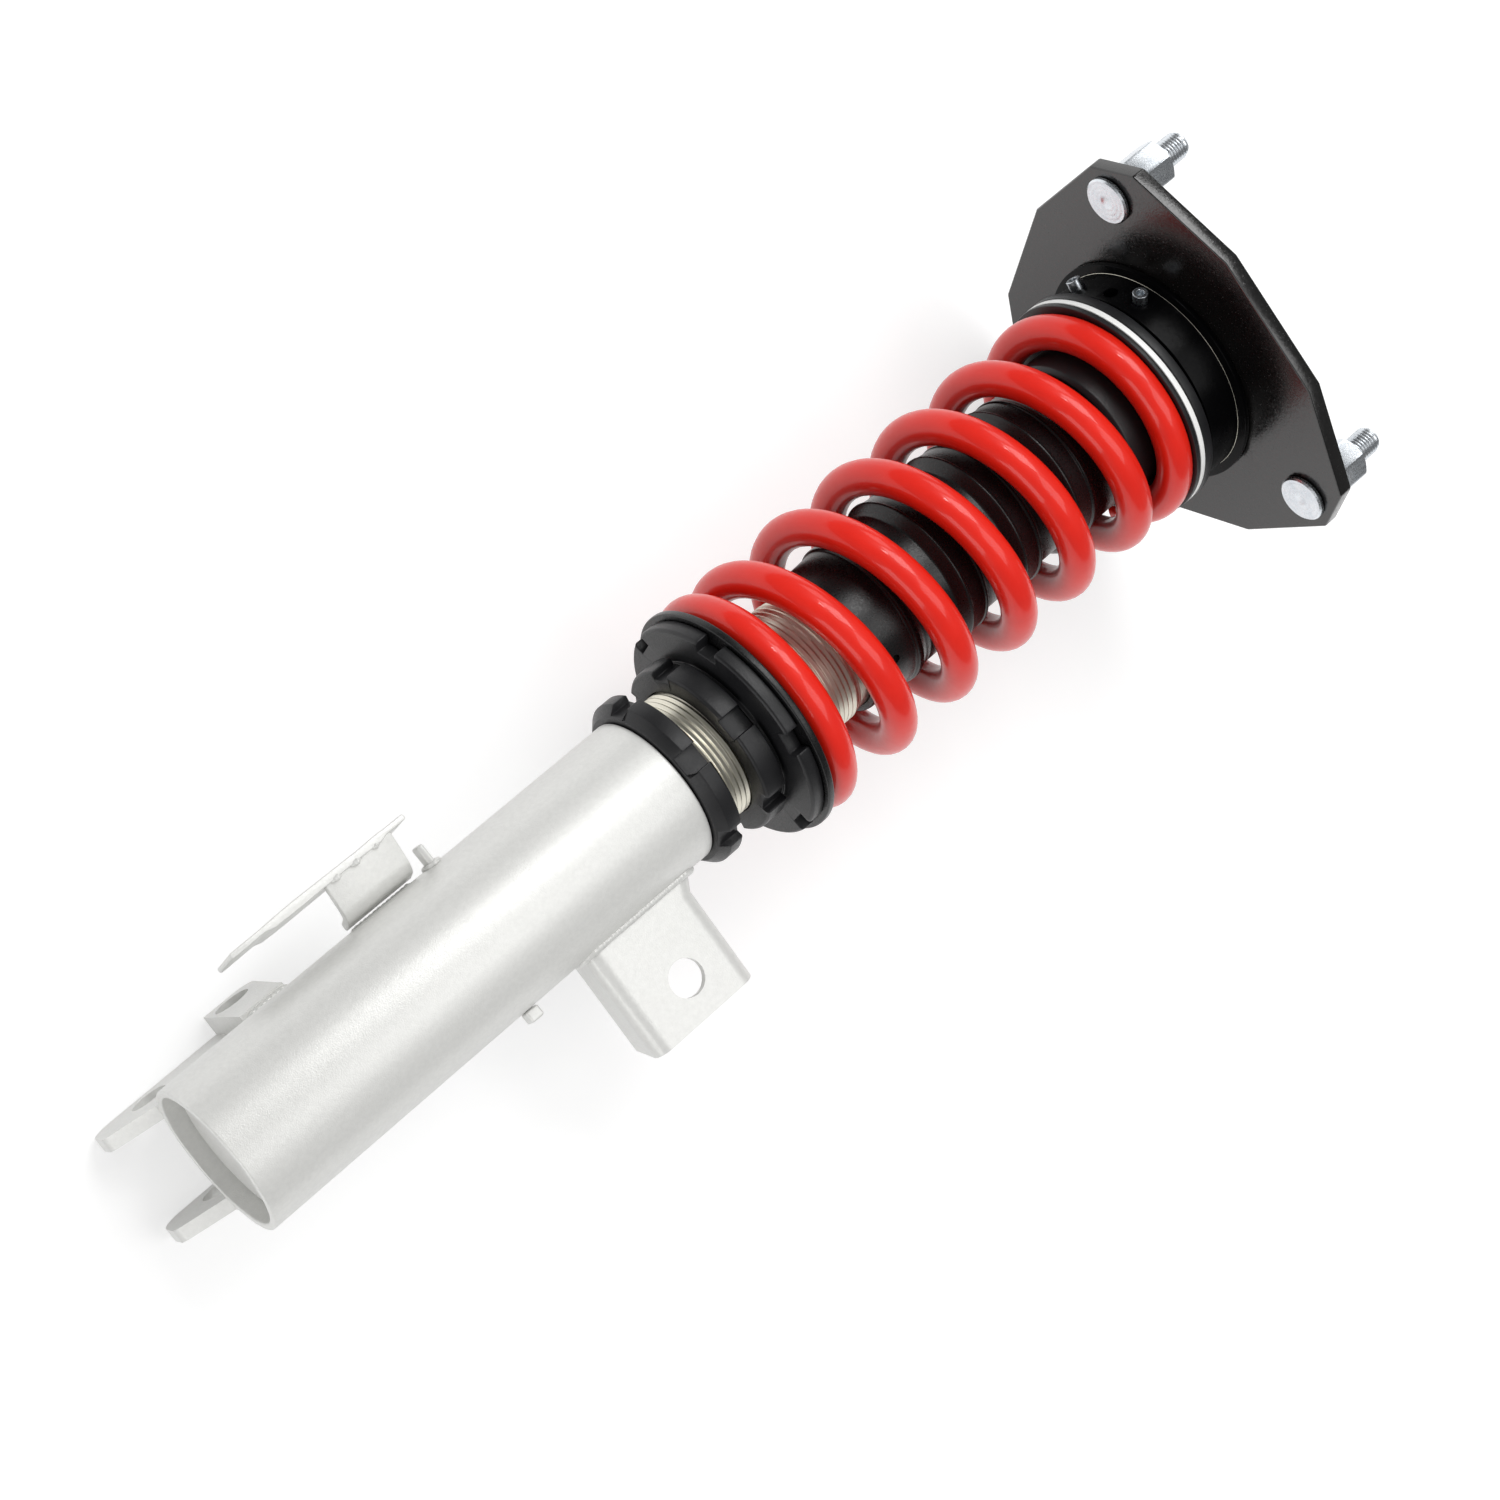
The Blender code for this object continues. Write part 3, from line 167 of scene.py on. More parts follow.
finish = {
    # sprayed silver over cast and welded steel: pale, finely grained, soft broad highlights
    "silver_paint": surface(
        "silverPaint", "#E2E2DF", "#DCDCD9", roughness=0.36, metallic=0.2, grain=0.5, bump=0.3, mottle=1.6,
    ),
    # anodised aluminium ring nuts: deep matt grey-black with a fine turned grain
    "black_anodised": surface(
        "blackAnodised", "#1C1C1E", "#171719", roughness=0.4, metallic=0.0, grain=0.5, bump=0.15,
        specular=0.4, turned=0.08,
    ),
    # moulded rubber boot and pad: near black, satin, slightly uneven
    "black_rubber": surface(
        "blackRubber", "#0F0F10", "#0B0B0C", roughness=0.32, metallic=0.0, grain=0.7, bump=0.12, specular=0.4,
    ),
    # powder coat: saturated red under a clear gloss with a slight orange peel
    "red_coat": surface(
        "redPowderCoat", "#E8210E", "#E11D0B", roughness=0.4, metallic=0.0, grain=2.4, bump=0.02,
        coat=0.5, specular=0.3, spread=0.03,
    ),
    # turned steel of the threaded tube: warm, bright lines round the axis
    "bare_steel": surface(
        "turnedSteel", "#E6E2D3", "#DEDACB", roughness=0.38, metallic=1.0, grain=0.8, bump=0.02,
        turned=0.04, spread=0.03,
    ),
    # zinc plate: bright, bluish, slightly cloudy
    "zinc_plate": surface(
        "zincPlate", "#E2E6EA", "#D4DAE0", roughness=0.3, metallic=1.0, grain=0.6, bump=0.08, mottle=3.0,
    ),
    # sintered bronze of bush and piston: brown gold, porous
    "bronze": surface(
        "sinteredBronze", "#A98A5C", "#96784C", roughness=0.4, metallic=1.0, grain=0.4, bump=0.3,
    ),
    # hard chrome of rod and ball: mirror bright with the finest grinding lines
    "chrome": surface(
        "hardChrome", "#D6D6DA", "#CCCCD2", roughness=0.08, metallic=1.0, grain=1.5, bump=0.02,
        spread=0.02, turned=0.05,
    ),
    # microcellular foam: dull straw yellow with open pores
    "foam": surface(
        "bumpFoam", "#CDAE62", "#B89A50", roughness=0.85, metallic=0.0, grain=0.9, bump=0.8,
    ),
    # nylon washer: milky white, faintly waxy
    "white_nylon": surface(
        "whiteNylon", "#F8F8F6", "#F2F2F0", roughness=0.4, metallic=0.0, grain=0.8, bump=0.05,
    ),
    # enamel of the hub: gloss black, smooth
    "gloss_black": surface(
        "glossBlack", "#060607", "#050506", roughness=0.24, metallic=0.0, grain=1.8, bump=0.03,
        specular=0.07, spread=0.04,
    ),
    # coating of the plate: satin black over steel, a little brown, broad soft reflections
    "satin_black": surface(
        "satinBlack", "#0E0D0C", "#0B0A0A", roughness=0.2, metallic=0.0, grain=0.9, bump=0.1,
        mottle=30.0, specular=0.85,
    ),
}
for node, cadObject in nodes.items():
    cadObject.data.materials.clear()
    cadObject.data.materials.append(finish[slotOf[node]])
print("materials made")


def softened(outline, radius, cuts=3, share=0.4):
    # every corner off the axis becomes a small curve, within a share of its two sides
    result = []
    for i, here in enumerate(outline):
        if here[0] <= 0.0:
            result.append(here)
            continue
        corner = Vector(here)
        toward = (Vector(outline[i - 1]) - corner, Vector(outline[(i + 1) % len(outline)]) - corner)
        reach = min(radius, share * toward[0].length, share * toward[1].length)
        start, end = (corner + side.normalized() * reach for side in toward)
        for k in range(cuts + 1):
            t = k / cuts
            result.append(tuple((1 - t) ** 2 * start + 2 * t * (1 - t) * corner + t * t * end))
    return result


def shade(mesh, sharp=35.0):
    # smooth, with a crisp line at every edge that is sharper than this angle
    mesh.shade_smooth()
    mesh.set_sharp_from_angle(angle=math.radians(sharp))


def linked(name, mesh):
    part = bpy.data.objects.new(name, mesh)
    bpy.context.scene.collection.objects.link(part)
    return part


def meshObject(name, points, faces, sharp=35.0):
    mesh = bpy.data.meshes.new(name)
    mesh.from_pydata([tuple(point) for point in points], [], faces)
    mesh.validate()
    bm = bmesh.new()
    bm.from_mesh(mesh)
    bmesh.ops.recalc_face_normals(bm, faces=bm.faces)
    bm.to_mesh(mesh)
    bm.free()
    shade(mesh, sharp)
    return linked(name, mesh)


def lathe(name, outline, steps=144, sharp=35.0):
    # a closed outline of (radius, height), turned about the strut's axis
    points, rows, faces = [], [], []
    for radius, height in outline:
        row = []
        for k in range(steps if radius > 1e-6 else 1):
            angle = math.tau * k / steps
            row.append(len(points))
            points.append((radius * math.cos(angle), radius * math.sin(angle), height))
        rows.append(row)
    for i, row in enumerate(rows):
        following = rows[(i + 1) % len(rows)]
        for k in range(steps):
            n = (k + 1) % steps
            if len(row) == 1 and len(following) == 1:
                continue
            if len(row) == 1:
                faces.append((row[0], following[k], following[n]))
            elif len(following) == 1:
                faces.append((row[k], following[0], row[n]))
            else:
                faces.append((row[k], following[k], following[n], row[n]))
    return meshObject(name, points, faces, sharp)


def join(name, parts):
    bm = bmesh.new()
    for part in parts:
        mesh = part.data.copy()
        mesh.transform(part.matrix_world)
        bm.from_mesh(mesh)
        bpy.data.objects.remove(part)
    mesh = bpy.data.meshes.new(name)
    bm.to_mesh(mesh)
    bm.free()
    return linked(name, mesh)


def settled(part):
    # the mesh with its modifiers worked out
    bpy.context.view_layer.update()
    graph = bpy.context.evaluated_depsgraph_get()
    mesh = bpy.data.meshes.new_from_object(part.evaluated_get(graph))
    part.modifiers.clear()
    part.data = mesh
    return part


def cut(part, tool):
    boolean = part.modifiers.new("cut", "BOOLEAN")
    boolean.operation = "DIFFERENCE"
    boolean.solver = "EXACT"
    boolean.object = tool
    settled(part)
    bpy.data.objects.remove(tool)
    return part


def rounded(part, width, limit=32.0, segments=3):
    bevel = part.modifiers.new("edge", "BEVEL")
    bevel.width = width
    bevel.segments = segments
    bevel.limit_method = "ANGLE"
    bevel.angle_limit = math.radians(limit)
    settled(part)
    shade(part.data)
    return part


def placed(part, body, slot, stands=()):
    # from the strut's millimetres into the row frame, onto its body
    part.data.transform(strut)
    part.data.materials.clear()
    part.data.materials.append(finish[slot])
    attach(part, body)
    if stands:
        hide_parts(*stands)
    return part


def prism(name, outline, low, high, steer=None):
    count = len(outline)
    points = [(x, y, low) for x, y in outline] + [(x, y, high) for x, y in outline]
    faces = [tuple(range(count)), tuple(range(count, 2 * count))]
    faces += [(i, (i + 1) % count, count + (i + 1) % count, count + i) for i in range(count)]
    result = meshObject(name, points, faces)
    if steer:
        result.data.transform(steer)
    return result


def circle(radius, steps=32):
    angles = [math.tau * k / steps for k in range(steps)]
    return [(radius * math.cos(angle), radius * math.sin(angle)) for angle in angles]


def outward(angle, height):
    # Z points out of the axis at an angle and a height
    turn = Matrix.Translation((0.0, 0.0, height)) @ Matrix.Rotation(math.radians(angle), 4, "Z")
    return turn @ Matrix.Rotation(math.radians(90.0), 4, "Y")


# one turn of a thread, as shares of the pitch along and of the depth out
threadProfile = ((0.0, 0.0), (0.12, 0.0), (0.42, 1.0), (0.58, 1.0), (0.88, 0.0))


def helix(name, root, crest, pitch, low, high, perTurn, fade=0.75):
    # a running thread: each turn's profile meets the next one's, and both ends fade out
    turns = (high - low) / pitch
    count = int(turns * perTurn)
    points, faces = [], []
    for k in range(count + 1):
        turn = k / perTurn
        strength = max(min(1.0, turn / fade, (turns - turn) / fade), 0.0)
        angle = math.tau * turn
        for offset, rise in threadProfile:
            radius = root + (crest - root) * rise * strength
            height = low + pitch * (turn + offset - 0.5)
            points.append((radius * math.cos(angle), radius * math.sin(angle), height))
    size = len(threadProfile)
    for k in range(count):
        for j in range(size - 1):
            a = k * size + j
            faces.append((a, a + 1, a + 1 + size, a + size))
        joined = k + perTurn
        if joined + 1 <= count:
            a = k * size + size - 1
            b = joined * size
            faces.append((a, b, b + size, a + size))
    return meshObject(name, points, faces, sharp=80.0)


def tube(count, sides):
    # faces of a closed tube whose rings of points follow each other
    faces = []
    for i in range(count - 1):
        for k in range(sides):
            n = (k + 1) % sides
            faces.append((i * sides + k, i * sides + n, (i + 1) * sides + n, (i + 1) * sides + k))
    faces.append(tuple(range(sides)))
    faces.append(tuple((count - 1) * sides + k for k in range(sides)))
    return faces


def squared(here, along):
    # the direction out from the axis, square to the way a wire or a bead runs
    out = Vector((here.x, here.y, 0.0)).normalized()
    return (out - along * out.dot(along)).normalized()


spring = {
    "coilRadius": 37.25,
    "wireRadius": 6.25,
    "startAngle": 78.0,
    "turns": 6.0,
    "tail": 0.35,           # turns of closed coil before and after that
    "rise": (0.182, 5.89),  # turns at which the steady pitch, drawn on, meets each end coil
    "settle": 0.5,          # turns over which each end eases to its closed coil
    "topSink": 2.2,         # how much of the top wire is ground away
    "topTuck": 0.25,        # how much smaller the last coil is
    "tuckBefore": 1.2,      # turns before the end at which it starts to be
    "pointsPerTurn": 64,
    "sides": 24,
    "stroke": 80.0,
}


def coilHeight(turn, length):
    low = spring["wireRadius"]
    high = length - spring["wireRadius"] + spring["topSink"]
    pitch = (high - low) / (spring["rise"][1] - spring["rise"][0])
    steady = low + pitch * (turn - spring["rise"][0])
    ease = pitch * spring["settle"] / 4
    for level, sign in ((low, 1.0), (high, -1.0)):
        rise = sign * (steady - level)
        if rise < -ease:
            steady = level
        elif rise < ease:
            steady = level + sign * (rise + ease) ** 2 / (4 * ease)
    return steady


def coilMiddle(turn, length):
    # preload pushes the last coil up into the washers, because a piece can squash with one joint
    # only, which is the stroke; it is a hair smaller, so that they cover it there
    tuck = spring["topTuck"] * min(max(turn - spring["turns"] + spring["tuckBefore"], 0.0), 1.0)
    radius = spring["coilRadius"] - tuck
    angle = math.radians(spring["startAngle"]) + math.tau * turn
    return Vector((radius * math.cos(angle), radius * math.sin(angle), coilHeight(turn, length)))


def makeSpring():
    foot, top = span("coil_spring")
    length = top - foot
    perTurn, sides = spring["pointsPerTurn"], spring["sides"]
    count = round((spring["turns"] + 2 * spring["tail"]) * perTurn) + 1
    ahead = 0.002       # turns, for the direction in which the wire runs
    points = []
    for i in range(count):
        turn = -spring["tail"] + i / perTurn
        here = coilMiddle(turn, length)
        along = (coilMiddle(turn + ahead, length) - coilMiddle(turn - ahead, length)).normalized()
        out = squared(here, along)
        up = along.cross(out)
        for k in range(sides):
            angle = math.tau * k / sides
            point = here + spring["wireRadius"] * (out * math.cos(angle) + up * math.sin(angle))
            # both end faces are ground flat
            point.z = foot + min(max(point.z, 0.0), length)
            points.append(point)
    part = meshObject("coilSpring", points, tube(count, sides), sharp=42.0)
    placed(part, "lower_seat", "red_coat", ["coil_spring"])
    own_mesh(part)


makeSpring()
print("spring made")


boot = {
    "cuffLength": 22.0,
    "wall": 2.2,
    "rim": 25.4,
    "rimSwell": (0.3, 1.2),     # out and up from the cuff's rim
    "lip": 27.6,
    "lipSteps": ((-1.0, -4.0), (-0.9, -3.3), (0.0, -2.7), (0.0, -0.6), (-0.5, 0.0)),
    "shoulder": (0.4, 1.6),     # out from the valley, up from the cuff's end
    "valley": 26.0,
    "crest": 29.3,
    "crestFall": 0.8,
    "top": 27.5,
    "ribs": 3,
    "firstRib": 43.5,
    "ribWidth": 8.8,
    "ribLead": 3.4,
    "ribTail": 1.6,
    "bead": 0.45,
    "beadSteps": (0.5, 0.7, 1.2),
    "cuffEdge": 0.5,
    "ribEdge": 0.6,
    "ventAngle": 123.0,
    "ventHeight": 10.2,
    "ventRadius": 1.7,
    "ventReach": (1.0, 3.0),    # how far the cutter runs inside the bore and outside the lip
    "split": 26.5,              # the boot is split here into the cuff below and the bellows above
}


def makeCuff(foot, bore):
    lip, end = boot["lip"], boot["cuffLength"]
    outline = [(boot["rim"], 0.0), (boot["rim"] + boot["rimSwell"][0], boot["rimSwell"][1])]
    outline += [(lip + out, end + up) for out, up in boot["lipSteps"]]
    outline += [(boot["valley"] + boot["shoulder"][0], end + boot["shoulder"][1])]
    outline += [(boot["valley"], boot["split"]), (bore, boot["split"]), (bore, 0.0)]
    outline = [(radius, foot + height) for radius, height in outline]
    cuff = lathe("bootCuff", softened(outline, boot["cuffEdge"]), sharp=60.0)
    inside, beyond = boot["ventReach"]
    vent = prism("vent", circle(boot["ventRadius"]), bore - inside, lip + beyond,
                 outward(boot["ventAngle"], foot + boot["ventHeight"]))
    cut(cuff, vent)
    shade(cuff.data, 40.0)
    placed(cuff, "damper", "black_rubber", ["dust_boot"])


def makeBellows(foot, length, bore):
    pitch = (length - boot["firstRib"]) / boot["ribs"]
    bead, crest, valley = boot["bead"], boot["crest"], boot["valley"]
    fallen = crest - boot["crestFall"]
    before, flat, after = boot["beadSteps"]
    outline = [(valley, boot["split"])]
    for i in range(boot["ribs"]):
        rib = boot["firstRib"] + i * pitch
        end = rib + boot["ribWidth"]
        above = boot["top"] if i == boot["ribs"] - 1 else valley
        outline += [
            (valley, rib - boot["ribLead"]), (crest - bead, rib - before), (crest, rib),
            (crest, rib + flat), (crest - bead, rib + after), (fallen - bead, end - after),
            (fallen, end - flat), (fallen, end), (above, end + boot["ribTail"]),
        ]
    outline += [(boot["top"], length), (bore, length), (bore, boot["split"])]
    outline = [(radius, foot + height) for radius, height in outline]
    bellows = lathe("bootBellows", softened(outline, boot["ribEdge"]), sharp=60.0)
    placed(bellows, "damper", "black_rubber", ["dust_boot"])
    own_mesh(bellows)


def makeBoot():
    foot, top = span("dust_boot")
    bore = boot["rim"] - boot["wall"]
    makeCuff(foot, bore)
    makeBellows(foot, top - foot, bore)


bumpStop = {
    "radius": 20.0,
    "bore": 10.4,
    # how far in from the radius, after how many thirds of the length, and how far past them
    "swell": (
        (5.0, 0, 0.0), (2.0, 1, -3.0), (4.0, 1, 0.0), (1.0, 1, 3.0),
        (0.6, 2, -3.0), (3.0, 2, 0.0), (0.0, 2, 3.0), (0.0, 3, 0.0),
    ),
    "edge": 2.0,
    "steps": 96,
    "keep": 0.45,
}


def makeBumpStop():
    low, high = span("bump_stop")
    third = (high - low) / 3
    outline = [(bumpStop["bore"], low)]
    for inward, thirds, past in bumpStop["swell"]:
        outline.append((bumpStop["radius"] - inward, low + thirds * third + past))
    outline.append((bumpStop["bore"], high))
    part = lathe("bumpStopFoam", softened(outline, bumpStop["edge"], 4), bumpStop["steps"], 60.0)
    placed(part, "rod", "foam", ["bump_stop"])
    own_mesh(part)


makeBoot()
makeBumpStop()
print("boot made")


damperTube = {
    "crest": 23.95,
    "root": 23.0,
    "rootTrim": 0.1,        # the plain tube lies this far under the thread's root
    "pitch": 2.0,
    "threadFrom": 150.0,
    "neck": 23.0,
    "neckLength": 27.0,
    "collar": 0.25,         # a low ring where the thread ends
    "collarSteps": (-0.6, 0.8, 1.4),
    "edge": 0.3,
    "bore": 20.5,
    "pointsPerTurn": 96,
}


def makeDamperTube():
    foot, top = span("damper_tube")
    threadTop = top - damperTube["neckLength"]
    root, neck, bore = damperTube["root"], damperTube["neck"], damperTube["bore"]
    under, collar = root - damperTube["rootTrim"], neck + damperTube["collar"]
    before, flat, after = damperTube["collarSteps"]
    outline = [
        (bore, foot), (under, foot), (under, threadTop + before), (collar, threadTop),
        (collar, threadTop + flat), (neck, threadTop + after), (neck, top), (bore, top),
    ]
    body = lathe("damperBody", softened(outline, damperTube["edge"], 2))
    running = helix("running", root, damperTube["crest"], damperTube["pitch"],
                    damperTube["threadFrom"], threadTop, damperTube["pointsPerTurn"])
    placed(join("threadedTube", [body, running]), "damper", "bare_steel", ["damper_tube"])


housing = {"outside": 27.0, "bore": 24.3, "rim": 0.7, "steps": 160}


def makeHousingTube():
    low, high = span("housing_tube")
    bore, outside = housing["bore"], housing["outside"]
    outline = [(bore, low), (outside, low), (outside, high), (bore, high)]
    part = lathe("housingTube", softened(outline, housing["rim"], 4), housing["steps"])
    placed(part, "housing", "silver_paint", ["housing_tube"])


makeDamperTube()
makeHousingTube()
print("tubes made")


ringNut = {
    "notches": 6,
    "notchWidth": 8.0,
    "notchDepth": 3.0,
    "notchAngle": 19.0,
    "lockChamfer": 3.2,
    "jamChamfer": 0.8,
    "break": 0.6,
    "edge": 0.35,
    "steps": 120,
}
seatNut = {
    "outside": 41.5,
    "rim": 0.8,
    "notchDepth": 4.5,
    "notchAngle": 43.0,
    "hubRadius": 29.0,
    "hubHeight": 1.5,
}


def notches(radius, depth, firstAngle, low, high, over=12.0, past=5.0):
    # the blocks stand over the rim and past both faces, so that they cut right through
    half = ringNut["notchWidth"] / 2
    floor = radius - depth
    outline = [(floor, -half), (radius + over, -half), (radius + over, half), (floor, half)]
    parts = []
    for i in range(ringNut["notches"]):
        block = prism("block", outline, low - past, high + past)
        angle = firstAngle + 360.0 / ringNut["notches"] * i
        block.data.transform(Matrix.Rotation(math.radians(angle), 4, "Z"))
        parts.append(block)
    return join("notches", parts)


def makeRing(name, node, lowerChamfer):
    # each ring nut turns on a body of its own, which has its node's name
    low, high = span(node)
    outside, bore, edge = widest(node), housing["bore"], ringNut["break"]
    outline = [
        (bore, low), (outside - lowerChamfer, low), (outside, low + lowerChamfer),
        (outside, high - edge), (outside - edge, high), (bore, high),
    ]
    part = lathe(name, outline, ringNut["steps"])
    cut(part, notches(outside, ringNut["notchDepth"], ringNut["notchAngle"], low, high))
    placed(rounded(part, ringNut["edge"]), node, "black_anodised", [node])


def makeSeatCollar():
    low, high = span("seat_collar")
    outside, bore, rim = seatNut["outside"], housing["bore"], seatNut["rim"]
    step = low + seatNut["hubHeight"]
    outline = [
        (bore, low), (seatNut["hubRadius"], low), (seatNut["hubRadius"], step), (outside - rim, step),
        (outside, step + rim), (outside, high), (bore, high),
    ]
    part = lathe("seatCollar", outline)
    cut(part, notches(outside, seatNut["notchDepth"], seatNut["notchAngle"], low, high))
    placed(rounded(part, ringNut["edge"]), "seat_collar", "black_anodised", ["seat_collar"])


makeRing("lockRing", "lock_ring", ringNut["lockChamfer"])
makeRing("jamCollar", "jam_collar", ringNut["jamChamfer"])
makeSeatCollar()


seats = {
    "padBore": 24.6,
    "padRadius": 43.6,
    "padThickness": 2.6,
    "spigot": 29.3,         # inside the spring, at both ends
    "washerBore": 29.6,
    "radius": 43.5,
    "flange": 3.8,
    "bore": 10.3,
    "lead": 1.5,
    "stemBore": 7.3,
    "web": 9.0,
    "padEdge": 0.6,
    "washerEdge": 0.35,
    "edge": 0.5,
}


def makeTurned(name, node, body, slot, outline, edge):
    placed(lathe(name, softened(outline, edge)), body, slot, [node])


def makeSeats():
    radius, spigot, lead = seats["radius"], seats["spigot"], seats["lead"]
    low, high = span("lower_spring_pad")
    rim, bore, wide = low + seats["padThickness"], seats["padBore"], seats["padRadius"]
    makeTurned("springPad", "lower_spring_pad", "lower_seat", "black_rubber", [
        (bore, low), (wide, low), (wide, rim), (spigot, rim), (spigot, high), (bore, high),
    ], seats["padEdge"])
    bore = seats["washerBore"]
    washers = (("thinWasher", "thin_washer", "black_anodised"), ("nylonWasher", "nylon_washer", "white_nylon"))
    for name, node, slot in washers:
        low, high = span(node)
        outline = [(bore, low), (radius, low), (radius, high), (bore, high)]
        makeTurned(name, node, "rod", slot, outline, seats["washerEdge"])
    low, high = span("upper_spring_seat")
    flange, web = high - seats["flange"], high - seats["web"]
    bore, stem = seats["bore"], seats["stemBore"]
    makeTurned("upperSeat", "upper_spring_seat", "rod", "black_anodised", [
        (bore, low), (spigot - lead, low), (spigot, low + lead), (spigot, flange), (radius, flange),
        (radius, high), (stem, high), (stem, web), (bore, web),
    ], seats["edge"])


makeSeats()
print("ring nuts and seats made")


hub = {
    "outside": 41.0,
    "lowHeight": 13.8,
    "boss": 44.5,
    "plateGap": 0.3,
    "spigot": 32.0,
    "lip": 14.5,
    "lipHeight": 2.5,
    "bore": 18.0,
    "groove": (19.5, 2.1),              # radius and width, for the snap ring
    "edge": 0.35,
    "dimple": (33.0, 4.7, 2.6, 5.0),    # angle, height above the hub's foot, radius, depth
    "screws": ((48.0, 7.5), (10.0, 4.5)),
    "screwHole": 3.0,
    "screwDepth": 7.0,
    "over": 9.0,                        # how far the cutters stand out of the hub
    # out and up from the step's edge: the outline of a thin bare-steel ring that paints the edge's highlight line
    "paintedGlint": ((0.02, -0.05), (0.16, -0.05), (0.02, -0.2)),
}


def makeHub():
    low, high = span("mount_hub")
    face = span("mount_plate")[0] - hub["plateGap"]
    outside, boss, bore, spigot, lip = (hub[key] for key in ("outside", "boss", "bore", "spigot", "lip"))
    step, lipTop = low + hub["lowHeight"], low + hub["lipHeight"]
    grooveRadius, grooveWidth = hub["groove"]
    grooveLow = span("ball_race")[1]
    grooveHigh = grooveLow + grooveWidth
    outline = [
        (lip, low), (outside, low), (outside, step), (boss, step), (boss, face), (spigot, face),
        (spigot, high), (bore, high), (bore, grooveHigh), (grooveRadius, grooveHigh),
        (grooveRadius, grooveLow), (bore, grooveLow), (bore, lipTop), (lip, lipTop),
    ]
    part = lathe("mountHub", softened(outline, hub["edge"], 2))
    holes = [hub["dimple"]]
    holes += [(angle, height, hub["screwHole"], hub["screwDepth"]) for angle, height in hub["screws"]]
    for angle, height, radius, depth in holes:
        steer = outward(angle, low + height)
        cut(part, prism("hole", circle(radius), outside - depth, outside + hub["over"], steer))
    shade(part.data)
    placed(part, "mount", "gloss_black", ["mount_hub"])
    # a thin bare-steel ring along the step's edge paints a bright highlight line there
    paintedGlint = [(outside + out, step + up) for out, up in hub["paintedGlint"]]
    placed(lathe("hubEdgeGlint", paintedGlint), "mount", "bare_steel")


stud = {
    "head": 8.8,
    "headThickness": 1.9,
    "headEdge": 0.6,
    "underEdge": 0.3,
    "centre": ((0.0, 0.25), (1.6, 0.25), (2.0, 0.05)),      # radius and depth of the centre mark
    "rings": (3.6, 5.4, 7.2),
    "ring": ((-0.35, 0.02), (0.0, 0.08), (0.35, 0.02)),     # across and depth of each ring
    "shank": 5.0,
    "pitch": 1.25,
    "threadDepth": 0.6,
    "threadLap": 0.02,
    "threadLength": 22.0,
    "threadEnd": 1.2,
    "runOut": 0.6,
    "tip": (0.9, 1.3, 0.05),    # length and depth of the end's chamfer, and how far it is set back
    "steps": 64,
    "pointsPerTurn": 40,
}


def makeStud(number):
    node = f"mount_stud_{number}"
    low, high = span(node)
    middle = middleOf(node)
    head, shank, root = stud["head"], stud["shank"], stud["shank"] - stud["threadDepth"]
    under, threadLow = low + stud["headThickness"], high - stud["threadLength"]
    tipLength, tipDepth, setBack = stud["tip"]
    # the head's face has plain rings left by the turning tool
    outline = [(radius, low + depth) for radius, depth in stud["centre"]]
    for radius in stud["rings"]:
        outline += [(radius + across, low + depth) for across, depth in stud["ring"]]
    outline += [
        (head - stud["headEdge"], low), (head, low + stud["headEdge"]), (head, under - stud["underEdge"]),
        (head - stud["underEdge"], under), (shank, under), (shank, threadLow - stud["runOut"]),
        (root, threadLow), (root, high - tipLength), (shank - tipDepth, high - setBack),
        (0.0, high - setBack),
    ]
    body = lathe("studBody", outline, stud["steps"])
    running = helix("running", root + stud["threadLap"], shank, stud["pitch"],
                    threadLow, high - stud["threadEnd"], stud["pointsPerTurn"])
    part = join(f"mountStud{number}", [body, running])
    part.data.transform(Matrix.Translation((middle.x, middle.y, 0.0)))
    placed(part, "mount", "zinc_plate", [node])


studNut = {
    "flange": 9.5,
    "flangeThickness": 2.5,
    "flangeEdge": ((-0.3, 0.0), (0.0, 0.4), (0.0, 1.1)),
    "root": (0.25, 0.5),        # out and up, where the flats meet the flange
    "across": 15.0,
    "corner": 1.135,            # the six corners are turned down to this times half the width
    "face": 0.97,               # the chamfer of the upper face starts at this times half the width
    "chamferSlope": 0.62,
    "bore": 5.3,
    "lowLead": 0.5,
    "highLead": 0.7,
    "steps": 96,
}


def nutLevels(angle, low, high):
    # the nut's outline at one angle: flange, flat or corner, upper face and bore
    half = studNut["across"] / 2
    within = (angle + math.pi / 6) % (math.pi / 3) - math.pi / 6
    side = min(half / math.cos(within), half * studNut["corner"])
    face, bore = half * studNut["face"], studNut["bore"]
    drop = max(0.0, side - face) * studNut["chamferSlope"]
    top = low + studNut["flangeThickness"]
    rootOut, rootUp = studNut["root"]
    return [
        (bore + studNut["lowLead"], low),
        *((studNut["flange"] + out, low + up) for out, up in studNut["flangeEdge"]),
        (side + rootOut, top), (side, top + rootUp), (side, high - drop), (face, high),
        (bore + studNut["highLead"], high), (bore, high - studNut["highLead"]),
        (bore, low + studNut["lowLead"]),
    ]


def makeNut(number):
    node = f"stud_nut_{number}"
    low, high = span(node)
    middle = middleOf(node)
    steps = studNut["steps"]
    points, faces = [], []
    for k in range(steps):
        angle = math.tau * k / steps
        levels = nutLevels(angle, low, high)
        points += [(radius * math.cos(angle), radius * math.sin(angle), height) for radius, height in levels]
    size = len(levels)
    for k in range(steps):
        here, following = k * size, (k + 1) % steps * size
        for j in range(size):
            m = (j + 1) % size
            faces.append((here + j, here + m, following + m, following + j))
    part = meshObject(f"studNut{number}", points, faces, sharp=28.0)
    part.data.transform(Matrix.Translation((middle.x, middle.y, 0.0)))
    placed(part, "mount", "zinc_plate", [node])


